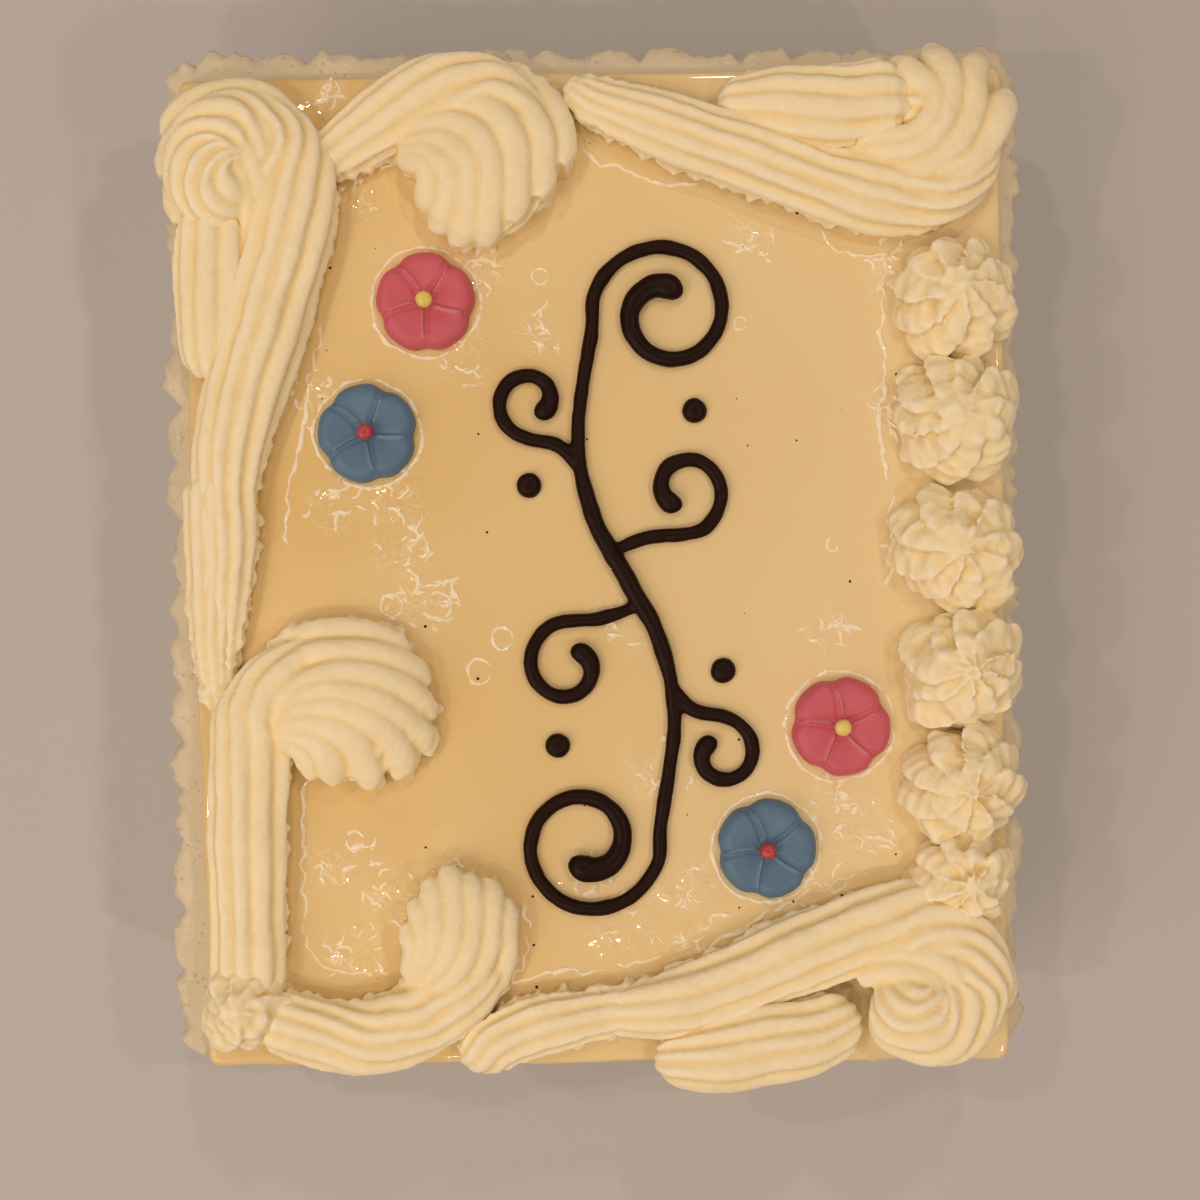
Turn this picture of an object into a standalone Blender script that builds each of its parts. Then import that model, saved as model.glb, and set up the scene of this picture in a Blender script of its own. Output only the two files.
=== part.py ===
"""Rectangular vanilla cake: a cream-coated block with a gel glaze on top, borders of
piped whipped cream, four sugar flowers with pearls, and a piped chocolate scroll.

The origin is at the middle of the cake's foot. +Y runs along the cake's long side.
Lengths are in millimetres and become metres where a mesh is made.
"""
import math
import random

import bmesh
import bpy
import numpy as np
from mathutils import Matrix, Vector

MM = 0.001

# Driving sizes of the block
GAP = 0.3
CAKE_TOP = 56.0
GLAZE_THICK = 4.0
GLAZE_TOP = CAKE_TOP + GLAZE_THICK
TOPPING_FOOT = GLAZE_TOP + GAP

# Corners of the glaze sheet as it was cut, and of the cream coat round the block,
# both anticlockwise from the lower left
GLAZE_CORNERS = [(-95.5, -124.5), (104.0, -122.5), (102.0, 125.5), (-103.5, 122.0)]
COAT_CORNERS = [(-103.5, -123.0), (107.0, -121.5), (106.0, 130.4), (-106.5, 128.6)]
GLAZE_CORNER_RADIUS = 3.0
COAT_CORNER_RADIUS = 8.0
RUFFLE_WIDTH = (11.0, 16.0)
RUFFLE_DEPTH = (1.6, 3.0)
COAT_SHOULDER = 7.0
COAT_INSET = 3.0

# Star nozzle: ridges round the rope, how deep the grooves are, how flat the rope lies
NOZZLE_RIDGES = 10
GROOVE_DEPTH = 0.2
ROPE_FLATTEN = 0.60
ROPE_SINK = 0.74
ROPE_STEP = 1.2
MELT_SIZE = 0.7
WELD = 0.01

# Each stroke of the bag: where it goes on the cake, as (x, y, lift, half width),
# the number of triangles it may take, and how far its start is rounded off
STROKES = {
    "cream_corner_scroll": (640, 9.0, [
        (-84.5, 89.5, 4.5, 10.4), (-91.5, 93.5, 3.5, 11.6), (-92.0, 101.5, 2.0, 12.2),
        (-84.5, 105.0, 0.5, 12.2), (-76.5, 100.5, 0.0, 12.2), (-74.5, 90.0, 0.0, 12.0),
        (-76.5, 75.0, 0.0, 11.6), (-81.0, 58.0, 0.0, 11.2), (-87.0, 38.0, 0.0, 10.2),
        (-90.5, 18.0, 0.0, 8.8), (-90.5, -2.0, 0.0, 7.2), (-92.0, -30.0, 0.0, 3.0)]),
    "cream_short_bar": (260, 2.5, [
        (-92.5, 84.0, 2.0, 9.6), (-93.0, 73.0, 1.0, 10.2), (-93.5, 59.0, 0.0, 9.0),
        (-94.0, 48.0, 0.0, 6.8)]),
    "cream_rough_bar": (280, 2.5, [
        (-93.5, 20.0, 1.0, 7.4), (-93.5, -6.0, 0.0, 7.0), (-94.0, -22.0, 0.0, 5.2),
        (-93.0, -36.5, 0.0, 3.0)]),
    "cream_side_hook": (700, 8.0, [
        (-68.5, -42.0, 4.0, 9.4), (-60.5, -43.0, 4.0, 10.2), (-53.5, -39.5, 2.5, 10.8),
        (-51.5, -32.5, 0.5, 11.2), (-56.5, -26.0, 0.0, 11.4), (-64.5, -24.5, 0.0, 11.2),
        (-73.0, -27.0, 0.0, 11.2), (-80.5, -33.5, 0.0, 11.0), (-84.0, -44.0, 0.0, 10.4),
        (-85.0, -69.5, 0.0, 10.0), (-84.5, -105.0, 0.0, 9.4)]),
    "cream_end_hook": (640, 7.0, [
        (-38.5, -93.0, 3.0, 8.6), (-37.0, -86.0, 3.0, 10.0), (-31.5, -84.0, 2.0, 10.4),
        (-29.0, -90.5, 0.8, 10.6), (-30.5, -100.0, 0.0, 10.6), (-36.5, -107.5, 0.0, 10.2),
        (-46.0, -113.5, 0.0, 9.8), (-60.0, -116.0, 0.0, 9.2), (-80.5, -111.0, 0.0, 8.2)]),
    "cream_far_comma": (660, 8.0, [
        (-36.0, 96.0, 4.0, 9.6), (-31.5, 90.5, 4.0, 11.0), (-23.0, 90.5, 3.0, 11.4),
        (-16.5, 97.5, 1.0, 11.5), (-17.0, 108.0, 0.0, 11.8), (-25.5, 116.5, 0.0, 11.6),
        (-36.0, 117.0, 0.0, 10.8), (-47.0, 113.0, 0.0, 9.8), (-60.0, 105.0, 0.0, 7.6),
        (-68.0, 99.5, 0.0, 6.0)]),
    "cream_far_scroll": (720, 8.0, [
        (74.0, 107.5, 4.0, 9.6), (80.0, 113.0, 4.0, 11.0), (87.5, 114.5, 3.0, 11.4),
        (91.5, 108.5, 1.0, 11.4), (90.0, 99.5, 0.0, 11.4), (82.0, 93.5, 0.0, 11.2),
        (71.0, 92.5, 0.0, 10.6), (56.0, 95.5, 0.0, 9.8), (26.5, 106.0, 0.0, 9.2),
        (2.0, 115.0, 0.0, 6.6), (-6.0, 119.0, 0.0, 4.0)]),
    "cream_far_bar": (260, 2.5, [
        (72.5, 114.5, 3.0, 9.4), (58.0, 114.5, 1.5, 9.6), (39.5, 115.0, 0.0, 7.8),
        (31.5, 115.5, 0.0, 4.4)]),
    "cream_near_scroll": (700, 8.0, [
        (72.0, -103.0, 4.0, 9.6), (77.5, -109.0, 4.0, 11.0), (86.0, -110.0, 3.0, 11.4),
        (92.0, -103.0, 1.0, 11.4), (89.0, -93.0, 0.0, 11.4), (79.5, -88.0, 0.0, 11.2),
        (67.0, -90.0, 0.0, 10.6), (53.5, -94.5, 0.0, 10.2), (24.0, -106.5, 0.0, 9.2),
        (4.5, -110.5, 0.0, 6.0)]),
    "cream_near_shell": (280, 4.0, [
        (60.0, -114.5, 0.5, 8.2), (51.0, -117.5, 1.0, 9.0), (37.0, -119.8, 1.0, 9.2),
        (26.5, -121.0, 0.5, 8.0), (20.0, -122.5, 0.0, 5.6)]),
    "cream_near_tail": (260, 2.5, [
        (5.0, -111.0, 0.0, 7.2), (-4.0, -111.5, 0.0, 7.6), (-15.0, -114.0, 0.0, 7.8),
        (-24.5, -117.5, 0.0, 7.6), (-29.0, -121.0, 0.0, 5.6)]),
}

# Star rosettes, as (x, y, radius), down the right side and one at the corner
ROSETTES = [(89.0, 68.0, 16.4), (89.5, 37.5, 17.2), (90.0, 4.5, 16.8),
            (91.5, -25.3, 16.6), (92.0, -54.0, 16.6), (91.5, -77.0, 14.2)]
CORNER_ROSETTE = (-85.5, -107.5, 13.4)
ROSETTE_HEIGHT = 14.0
ROSETTE_LOBES = 9

# Which later strokes lie over each stroke, so that it is hollowed to take them
COVERED_BY = {
    "cream_corner_scroll": ["cream_short_bar", "cream_rough_bar", "cream_side_hook"],
    "cream_rough_bar": ["cream_side_hook"],
    "cream_side_hook": ["cream_rosette_corner"],
    "cream_end_hook": ["cream_rosette_corner"],
    "cream_far_comma": ["cream_corner_scroll"],
    "cream_far_scroll": ["cream_far_comma"],
    "cream_far_bar": ["cream_far_scroll"],
    "cream_rosette_1": ["cream_far_scroll"],
    "cream_rosette_2": ["cream_rosette_1"],
    "cream_rosette_3": ["cream_rosette_2"],
    "cream_rosette_4": ["cream_rosette_3"],
    "cream_rosette_5": ["cream_rosette_4"],
    "cream_rosette_6": ["cream_rosette_5"],
    "cream_near_scroll": ["cream_rosette_6"],
    "cream_near_shell": ["cream_near_scroll"],
    "cream_near_tail": ["cream_near_scroll", "cream_near_shell", "cream_end_hook"],
}

# Sugar flowers, as (x, y, first petal joint in degrees, colour), and their pearls
FLOWERS = [(-41.5, 66.2, 128.0, "pink"), (-56.0, 33.5, 140.0, "blue"),
           (62.0, -39.5, 100.0, "pink"), (43.5, -70.0, 112.0, "blue")]
FLOWER_RADIUS = 12.4
FLOWER_RIM = 2.6
FLOWER_CROWN = 4.4
FLOWER_WELL = 3.4
PEARL_RADIUS = 2.1

# Chocolate scroll: a vine whose lower half is its upper half turned by 180 degrees
SCROLL_MIDDLE = (8.5, -2.5)
LINE_HALF = 1.8
LINE_HEIGHT = 2.6
LINE_MELT = 0.4
LINE_STEP = 1.0
DOT_RADIUS = 3.1
SCROLL_DOTS = [(15.5, 38.0), (-22.0, 21.0)]
SCROLL_SPREAD = 1.1
SCROLL_TRIANGLES = 860

COLOURS = {
    "coat": ((0.62, 0.54, 0.38), 0.62),
    "cream": ((0.72, 0.60, 0.40), 0.55),
    "glaze": ((0.68, 0.44, 0.18), 0.12),
    "chocolate": ((0.022, 0.006, 0.003), 0.25),
    "pink": ((0.52, 0.09, 0.08), 0.45),
    "blue": ((0.09, 0.13, 0.18), 0.45),
    "yellow": ((0.65, 0.40, 0.06), 0.35),
    "red": ((0.33, 0.02, 0.02), 0.35),
}


def material(kind):
    """One material for each food, made the first time that it is asked for."""
    found = bpy.data.materials.get(kind)
    if found:
        return found
    colour, roughness = COLOURS[kind]
    made = bpy.data.materials.new(kind)
    made.use_nodes = True
    shader = made.node_tree.nodes["Principled BSDF"]
    shader.inputs["Base Color"].default_value = (*colour, 1.0)
    shader.inputs["Roughness"].default_value = roughness
    shader.inputs["Metallic"].default_value = 0.0
    return made


def place(name, mesh, kind):
    """Put a mesh into the cake's collection under its node name."""
    mesh.materials.clear()
    mesh.materials.append(material(kind))
    piece = bpy.data.objects.new(name, mesh)
    CAKE.objects.link(piece)
    return piece


def loft(name, rings):
    """A closed skin through rings of points that all have the same count."""
    form = bmesh.new()
    loops = [[form.verts.new(Vector(p) * MM) for p in ring] for ring in rings]
    count = len(loops[0])
    for low, high in zip(loops, loops[1:]):
        for i in range(count):
            j = (i + 1) % count
            form.faces.new((low[i], low[j], high[j], high[i]))
    form.faces.new(list(reversed(loops[0])))
    form.faces.new(loops[-1])
    bmesh.ops.triangulate(form, faces=[f for f in form.faces if len(f.verts) > 4])
    bmesh.ops.recalc_face_normals(form, faces=form.faces)
    mesh = bpy.data.meshes.new(name)
    form.to_mesh(mesh)
    form.free()
    return mesh


def rounded_outline(corners, radius):
    """A dense outline round the corners: points with their outward directions."""
    count = len(corners)
    dense = []
    for i in range(count):
        corner = Vector(corners[i])
        before = (Vector(corners[i - 1]) - corner).normalized()
        after = (Vector(corners[(i + 1) % count]) - corner).normalized()
        start, end = corner + before * radius, corner + after * radius
        for k in range(9):
            t = k / 8
            dense.append(start * (1 - t) ** 2 + corner * 2 * t * (1 - t) + end * t ** 2)
    lengths = [0.0]
    for a, b in zip(dense, dense[1:] + dense[:1]):
        lengths.append(lengths[-1] + (b - a).length)

    def at(distance):
        distance %= lengths[-1]
        i = max(k for k in range(len(dense)) if lengths[k] <= distance)
        a, b = dense[i], dense[(i + 1) % len(dense)]
        spot = a + (b - a) * ((distance - lengths[i]) / max(lengths[i + 1] - lengths[i], 1e-9))
        along = (b - a).normalized()
        return spot, Vector((along.y, -along.x))

    return at, lengths[-1]


def coat_outline(draw):
    """The coat's ruffled outline: each swipe of the knife leaves a rounded fold."""
    at, total = rounded_outline(COAT_CORNERS, COAT_CORNER_RADIUS)
    widths = []
    while sum(widths) < total:
        widths.append(draw.uniform(*RUFFLE_WIDTH))
    stretch = total / sum(widths)
    points, outward, travelled = [], [], 0.0
    for width in widths:
        depth = draw.uniform(*RUFFLE_DEPTH)
        bulge = draw.uniform(-0.8, 0.8)
        for share, reach in ((0.0, -0.6), (0.3, 0.4), (0.68, 0.4)):
            spot, away = at(travelled + share * width * stretch)
            points.append(spot + away * (depth * reach + bulge * (reach > 0)))
            outward.append(away)
        travelled += width * stretch
    return points, outward


def cake_block(draw):
    """Sponge and coat as one solid, since nothing inside the uncut cake shows."""
    points, outward = coat_outline(draw)
    top = CAKE_TOP - GAP
    rings = [[(*p, 0.0) for p in points],
             [(*p, top - COAT_SHOULDER) for p in points],
             [(*(p - away * COAT_INSET), top) for p, away in zip(points, outward)]]
    place("cream_coated_cake", loft("cream_coated_cake", rings), "coat")


def glaze_sheet(draw):
    """The set gel on top, cut at the sides with a slightly wandering knife."""
    at, total = rounded_outline(GLAZE_CORNERS, GLAZE_CORNER_RADIUS)
    count = 64
    outline = []
    for i in range(count):
        spot, away = at(total * i / count)
        outline.append(spot + away * draw.uniform(-0.5, 0.5))
    rings = [[(*p, CAKE_TOP) for p in outline], [(*p, GLAZE_TOP) for p in outline]]
    place("vanilla_glaze", loft("vanilla_glaze", rings), "glaze")


def smooth(rows, step):
    """A Catmull-Rom curve through the rows, with a row every step along it."""
    rows = np.array(rows, float)
    ends = np.vstack([2 * rows[0] - rows[1], rows, 2 * rows[-1] - rows[-2]])
    dense = []
    for p0, p1, p2, p3 in zip(ends, ends[1:], ends[2:], ends[3:]):
        for t in np.linspace(0.0, 1.0, 24, endpoint=False):
            dense.append(0.5 * (2 * p1 + (p2 - p0) * t + (2 * p0 - 5 * p1 + 4 * p2 - p3) * t ** 2
                                + (3 * p1 - p0 - 3 * p2 + p3) * t ** 3))
    dense = np.array(dense + [rows[-1]])
    travelled = np.concatenate([[0.0], np.cumsum(np.linalg.norm(np.diff(dense[:, :2], axis=0), axis=1))])
    marks = np.linspace(0.0, travelled[-1], max(4, int(travelled[-1] / step) + 1))
    return np.array([[np.interp(m, travelled, dense[:, k]) for k in range(4)] for m in marks])


def nozzle_outline():
    """The star that the nozzle gives a rope: round ridges with sharp grooves between."""
    outline = bpy.data.curves.new("nozzle_outline", "CURVE")
    outline.dimensions = "2D"
    spline = outline.splines.new("POLY")
    count = NOZZLE_RIDGES * 4
    spline.points.add(count - 1)
    for i, point in enumerate(spline.points):
        angle = math.tau * i / count
        reach = 1.0 - GROOVE_DEPTH * (1.0 - abs(math.cos(NOZZLE_RIDGES / 2 * angle)))
        point.co = (reach * math.cos(angle) * MM, reach * math.sin(angle) * MM, 0.0, 1.0)
    spline.use_cyclic_u = True
    nozzle = bpy.data.objects.new("nozzle_outline", outline)
    nozzle.hide_render = True
    nozzle.display_type = "WIRE"
    GUIDES.objects.link(nozzle)
    return nozzle


def evaluated(piece):
    """The piece's mesh with its modifiers applied."""
    graph = bpy.context.evaluated_depsgraph_get()
    return bpy.data.meshes.new_from_object(piece.evaluated_get(graph))


def swept(name, rows, nozzle, turning, flatten):
    """Sweep a nozzle's outline along the rows and press it flat. A turning nozzle keeps
    facing one way, so that its ridges cross over the rope as the path bends. Where the
    rope is lifted, its lower half reaches down to the glaze all the same."""
    curve = bpy.data.curves.new(name, "CURVE")
    curve.dimensions = "3D"
    curve.twist_mode = "Z_UP"
    curve.bevel_mode = "OBJECT"
    curve.bevel_object = nozzle
    curve.use_fill_caps = True
    spline = curve.splines.new("POLY")
    spline.points.add(len(rows) - 1)
    headings = np.unwrap(np.arctan2(np.gradient(rows[:, 1]), np.gradient(rows[:, 0])))
    for point, row, heading in zip(spline.points, rows, headings):
        point.co = (row[0] * MM, row[1] * MM, 0.0, 1.0)
        point.radius = row[3]
        point.tilt = -heading if turning else 0.0
    guide = bpy.data.objects.new(name, curve)
    GUIDES.objects.link(guide)
    mesh = evaluated(guide)
    bpy.data.objects.remove(guide)
    ring = len(nozzle.data.splines[0].points)
    # The points of the two end caps come after those of the rope itself
    order = [*range(len(rows)), 0, len(rows) - 1]
    for vertex in mesh.vertices:
        row = rows[order[vertex.index // ring]]
        below = row[2] - TOPPING_FOOT
        reach = row[3] * flatten
        stretch = max(1.0, below / (reach * ROPE_SINK)) if vertex.co.z < 0.0 else 1.0
        vertex.co.z = row[2] * MM + vertex.co.z * flatten * stretch
    form = bmesh.new()
    form.from_mesh(mesh)
    bmesh.ops.remove_doubles(form, verts=form.verts, dist=WELD * MM)
    bmesh.ops.recalc_face_normals(form, faces=form.faces)
    form.to_mesh(mesh)
    form.free()
    rest_on_top(mesh)
    return mesh


def melted(mesh, voxel, triangles):
    """Fuse what crosses itself into one skin, then thin it to its triangle count."""
    piece = bpy.data.objects.new("melting", mesh)
    GUIDES.objects.link(piece)
    fuse = piece.modifiers.new("fuse", "REMESH")
    fuse.mode = "VOXEL"
    fuse.voxel_size = voxel * MM
    fused = evaluated(piece)
    fused.calc_loop_triangles()
    piece.modifiers.clear()
    piece.data = fused
    thin = piece.modifiers.new("thin", "DECIMATE")
    thin.ratio = min(1.0, triangles / len(fused.loop_triangles))
    thin.use_collapse_triangulate = True
    result = evaluated(piece)
    bpy.data.objects.remove(piece)
    return result


def rest_on_top(mesh):
    """Keep every point of a topping at or above the glaze."""
    for vertex in mesh.vertices:
        vertex.co.z = max(vertex.co.z, TOPPING_FOOT * MM)


def piped_stroke(name, triangles, rounding, rows, nozzle):
    """One stroke of the piping bag, laid on the glaze. Its start swells from a point
    over the rounding, as the first burst of cream does before the bag moves off."""
    rows = smooth(rows, ROPE_STEP)
    travelled = np.arange(len(rows)) * ROPE_STEP
    opening = np.clip((travelled + ROPE_STEP / 4) / rounding, 0.0, 1.0)
    rows[:, 3] *= np.sqrt(1.0 - (1.0 - opening) ** 2)
    rows[:, 2] += TOPPING_FOOT + rows[:, 3] * ROPE_FLATTEN * ROPE_SINK
    mesh = swept(name, rows, nozzle, True, ROPE_FLATTEN)
    mesh = melted(mesh, MELT_SIZE, triangles)
    rest_on_top(mesh)
    return place(name, mesh, "cream")


def rosette(name, x, y, radius, draw):
    """A star pressed out in one spot: lobes that lean round and close to a peak."""
    twist = draw.uniform(14.0, 30.0)
    start = draw.uniform(0.0, 40.0)
    reach = [draw.uniform(0.92, 1.06) for _ in range(ROSETTE_LOBES)]
    count = ROSETTE_LOBES * 4
    sides = ((0.0, 0.90), (0.16, 1.0), (0.5, 0.92), (0.8, 0.60), (0.97, 0.22))
    rings = []
    for rise, wide in sides:
        ring = []
        for i in range(count):
            lobe = reach[(i + 2) // 4 % ROSETTE_LOBES]
            fluting = 1.0 - 0.24 * (1.0 - abs(math.cos(ROSETTE_LOBES / 2 * math.tau * i / count)))
            angle = math.tau * i / count + math.radians(start + twist * rise * 1.6)
            r = radius * wide * fluting * lobe
            ring.append((x + r * math.cos(angle), y + r * math.sin(angle),
                         TOPPING_FOOT + ROSETTE_HEIGHT * rise))
        rings.append(ring)
    return place(name, loft(name, rings), "cream")


def swollen(piece, margin):
    """A copy of a piece grown by a margin, to cut its bed out of a stroke beneath."""
    form = bmesh.new()
    form.from_mesh(piece.data)
    form.normal_update()
    grown = [v.co + v.normal * margin * MM * min(v.calc_shell_factor(), 1.6) for v in form.verts]
    for vertex, spot in zip(form.verts, grown):
        vertex.co = spot
    mesh = bpy.data.meshes.new(piece.name + "_bed")
    form.to_mesh(mesh)
    form.free()
    cutter = bpy.data.objects.new(mesh.name, mesh)
    cutter.hide_render = True
    cutter.display_type = "WIRE"
    GUIDES.objects.link(cutter)
    return cutter


def largest_body(mesh):
    """The largest body that a cut leaves, without loose scraps or doubled points."""
    form = bmesh.new()
    form.from_mesh(mesh)
    bmesh.ops.remove_doubles(form, verts=form.verts, dist=WELD * MM)
    bmesh.ops.dissolve_degenerate(form, edges=form.edges, dist=WELD * MM)
    left, bodies = set(form.verts), []
    while left:
        body, edge = set(), [left.pop()]
        while edge:
            vertex = edge.pop()
            body.add(vertex)
            for link in vertex.link_edges:
                other = link.other_vert(vertex)
                if other in left:
                    left.discard(other)
                    edge.append(other)
        bodies.append(body)
    keep = max(bodies, key=len)
    bmesh.ops.delete(form, geom=[v for v in form.verts if v not in keep], context="VERTS")
    bmesh.ops.triangulate(form, faces=form.faces)
    closed = all(edge.is_manifold for edge in form.edges)
    result = bpy.data.meshes.new(mesh.name)
    form.to_mesh(result)
    form.free()
    return result, closed


def bed_in(piece, over):
    """Hollow a stroke where later strokes lie over it."""
    for upper in over:
        cutter = swollen(upper, GAP + 0.05)
        cut = piece.modifiers.new("bed", "BOOLEAN")
        cut.operation = "DIFFERENCE"
        cut.object = cutter
        for solver in ("EXACT", "MANIFOLD"):
            cut.solver = solver
            mesh, closed = largest_body(evaluated(piece))
            if closed:
                break
        piece.modifiers.clear()
        piece.data = mesh
        bpy.data.objects.remove(cutter)


def sugar_flower(name, x, y, joint, colour):
    """A pressed sugar flower: five round petals, with a fine crest at each joint."""
    count = 30
    rings = []
    for share, height, crest in ((0.97, 0.0, 0.0), (1.0, FLOWER_RIM, 0.0),
                                 (0.62, FLOWER_CROWN - 0.5, 0.6), (0.2, FLOWER_WELL, 0.3)):
        ring = []
        for i in range(count):
            angle = math.tau * i / count
            between = abs(math.cos(2.5 * angle))
            lobe = 1.0 - 0.13 * between ** 3 if share > 0.9 else 1.0
            r = FLOWER_RADIUS * share * lobe
            turn = angle + math.radians(joint)
            ring.append((x + r * math.cos(turn), y + r * math.sin(turn),
                         TOPPING_FOOT + height + crest * between ** 6))
        rings.append(ring)
    place(name, loft(name, rings), colour)


def pearl(name, x, y, colour):
    """A sugar pearl set in the flower's well."""
    form = bmesh.new()
    bmesh.ops.create_uvsphere(form, u_segments=8, v_segments=6, radius=PEARL_RADIUS * MM)
    height = TOPPING_FOOT + FLOWER_WELL + 0.3 + GAP + PEARL_RADIUS * 0.8
    bmesh.ops.transform(form, matrix=Matrix.Translation(Vector((x, y, height)) * MM)
                        @ Matrix.Diagonal((1.0, 1.0, 0.8, 1.0)), verts=form.verts)
    mesh = bpy.data.meshes.new(name)
    form.to_mesh(mesh)
    form.free()
    place(name, mesh, colour)


def spiral(centre, radius, last_radius, start, sweep, half, last_half):
    """Points on a closing curl, with the line swelling to a drop at its end."""
    rows = []
    count = max(6, int(abs(sweep) / 30))
    for i in range(count + 1):
        t = i / count
        r = radius + (last_radius - radius) * t
        angle = math.radians(start + sweep * t)
        swell = half + (last_half - half) * t ** 4
        rows.append((centre[0] + r * math.cos(angle), centre[1] + r * math.sin(angle), 0.0, swell))
    return rows


def scroll_lines():
    """The vine and its curls, about the scroll's middle: half of it, then the half turned."""
    vine = [(0.0, 0.0, 0.0, 2.4), (-7.5, 14.0, 0.0, 2.2), (-11.0, 32.0, 0.0, LINE_HALF)]
    vine += spiral((9.0, 60.0), 17.5, 5.0, 195.0, -500.0, LINE_HALF, 3.4)
    inner = [(-3.5, 6.0, 0.0, 1.4), (5.0, 9.0, 0.0, LINE_HALF)]
    inner += spiral((13.0, 20.0), 10.0, 3.6, -75.0, 330.0, LINE_HALF, 2.9)
    outer = [(-9.0, 22.0, 0.0, 1.4), (-14.5, 29.5, 0.0, LINE_HALF)]
    outer += spiral((-21.5, 40.0), 8.5, 3.2, -95.0, -330.0, LINE_HALF, 2.6)
    turned = [[(-x, -y, lift, half) for x, y, lift, half in line] for line in (vine, inner, outer)]
    return [list(reversed(turned[0]))[:-1] + vine, inner, outer, turned[1], turned[2]]


def round_outline():
    """A plain round nozzle for chocolate."""
    outline = bpy.data.curves.new("round_outline", "CURVE")
    outline.dimensions = "2D"
    spline = outline.splines.new("POLY")
    spline.points.add(11)
    for i, point in enumerate(spline.points):
        angle = math.tau * i / 12
        point.co = (math.cos(angle) * MM, math.sin(angle) * MM, 0.0, 1.0)
    spline.use_cyclic_u = True
    nozzle = bpy.data.objects.new("round_outline", outline)
    nozzle.hide_render = True
    nozzle.display_type = "WIRE"
    GUIDES.objects.link(nozzle)
    return nozzle


def chocolate_scroll(nozzle):
    """The piped vine as one solid, its curls fused to it, and its loose dots."""
    whole = bmesh.new()
    flatten = LINE_HEIGHT / (LINE_HALF * (1.0 + ROPE_SINK))
    for line in scroll_lines():
        rows = smooth(line, LINE_STEP)
        rows[:, :2] = rows[:, :2] * SCROLL_SPREAD + np.array(SCROLL_MIDDLE)
        rows[:, 2] = TOPPING_FOOT + rows[:, 3] * flatten * ROPE_SINK
        whole.from_mesh(swept("line", rows, nozzle, False, flatten))
    mesh = bpy.data.meshes.new("chocolate_scroll")
    whole.to_mesh(mesh)
    whole.free()
    mesh = melted(mesh, LINE_MELT, SCROLL_TRIANGLES)
    rest_on_top(mesh)
    place("chocolate_scroll", mesh, "chocolate")
    spots = SCROLL_DOTS + [(-x, -y) for x, y in SCROLL_DOTS]
    for number, spot in enumerate(spots, 1):
        name = f"chocolate_dot_{number}"
        x, y = Vector(spot) * SCROLL_SPREAD + Vector(SCROLL_MIDDLE)
        rings = []
        for share, rise in ((0.9, 0.0), (1.0, 0.3), (0.8, 0.8), (0.3, 1.0)):
            rings.append([(x + DOT_RADIUS * share * math.cos(math.tau * i / 12),
                           y + DOT_RADIUS * share * math.sin(math.tau * i / 12),
                           TOPPING_FOOT + LINE_HEIGHT * rise) for i in range(12)])
        place(name, loft(name, rings), "chocolate")


for old in list(bpy.data.objects):
    bpy.data.objects.remove(old)
CAKE = bpy.data.collections.new("vanilla_cake")
GUIDES = bpy.data.collections.new("guides")
bpy.context.scene.collection.children.link(CAKE)
bpy.context.scene.collection.children.link(GUIDES)

draw = random.Random(7)
cake_block(draw)
glaze_sheet(draw)

star = nozzle_outline()
cream = {}
for stroke, (triangles, rounding, rows) in STROKES.items():
    cream[stroke] = piped_stroke(stroke, triangles, rounding, rows, star)
for number, (x, y, radius) in enumerate(ROSETTES, 1):
    name = f"cream_rosette_{number}"
    cream[name] = rosette(name, x, y, radius, draw)
cream["cream_rosette_corner"] = rosette("cream_rosette_corner", *CORNER_ROSETTE, draw)
whole_strokes = {name: piece.copy() for name, piece in cream.items()}
for lower, over in COVERED_BY.items():
    bed_in(cream[lower], [whole_strokes[name] for name in over])
for copy in whole_strokes.values():
    bpy.data.objects.remove(copy)

for number, (x, y, joint, colour) in enumerate(FLOWERS, 1):
    sugar_flower(f"{colour}_flower_{number}", x, y, joint, colour)
    pearl(f"pearl_{number}", x, y, "yellow" if colour == "pink" else "red")

round_nozzle = round_outline()
chocolate_scroll(round_nozzle)
for nozzle in (star, round_nozzle):
    bpy.data.objects.remove(nozzle)
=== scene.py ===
"""Vanilla cake: a cream-coated block with a vanilla gel sheet on top, borders of piped
whipped cream, four sugar flowers with pearls, and a piped chocolate vine.

Written in the order in which the cake is put together. Plans are in millimetres from
the middle of the cake's foot, and become metres where a mesh or a curve is made.
"""
import math
import random

import bmesh
import bpy
import numpy as np
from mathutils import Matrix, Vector, noise


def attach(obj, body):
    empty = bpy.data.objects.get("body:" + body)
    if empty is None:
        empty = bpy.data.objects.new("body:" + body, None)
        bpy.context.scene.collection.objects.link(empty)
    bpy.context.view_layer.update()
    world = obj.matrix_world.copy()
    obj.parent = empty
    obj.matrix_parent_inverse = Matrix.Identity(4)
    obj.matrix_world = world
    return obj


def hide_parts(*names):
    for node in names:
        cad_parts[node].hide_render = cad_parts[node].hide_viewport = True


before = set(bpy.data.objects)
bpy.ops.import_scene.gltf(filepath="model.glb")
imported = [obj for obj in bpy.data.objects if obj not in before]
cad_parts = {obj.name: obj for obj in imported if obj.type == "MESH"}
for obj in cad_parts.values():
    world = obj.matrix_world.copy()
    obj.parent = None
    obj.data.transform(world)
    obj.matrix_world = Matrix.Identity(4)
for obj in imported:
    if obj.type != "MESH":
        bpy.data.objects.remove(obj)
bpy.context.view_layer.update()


# The coat. Whipped cream is spread round the sponge with a small palette knife, one
# upright swipe beside the other, so that it stands in narrow rounded folds with sharp
# creases between them. It was spread early and has dried a little: dull, with pores.
MM = 0.001
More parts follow.
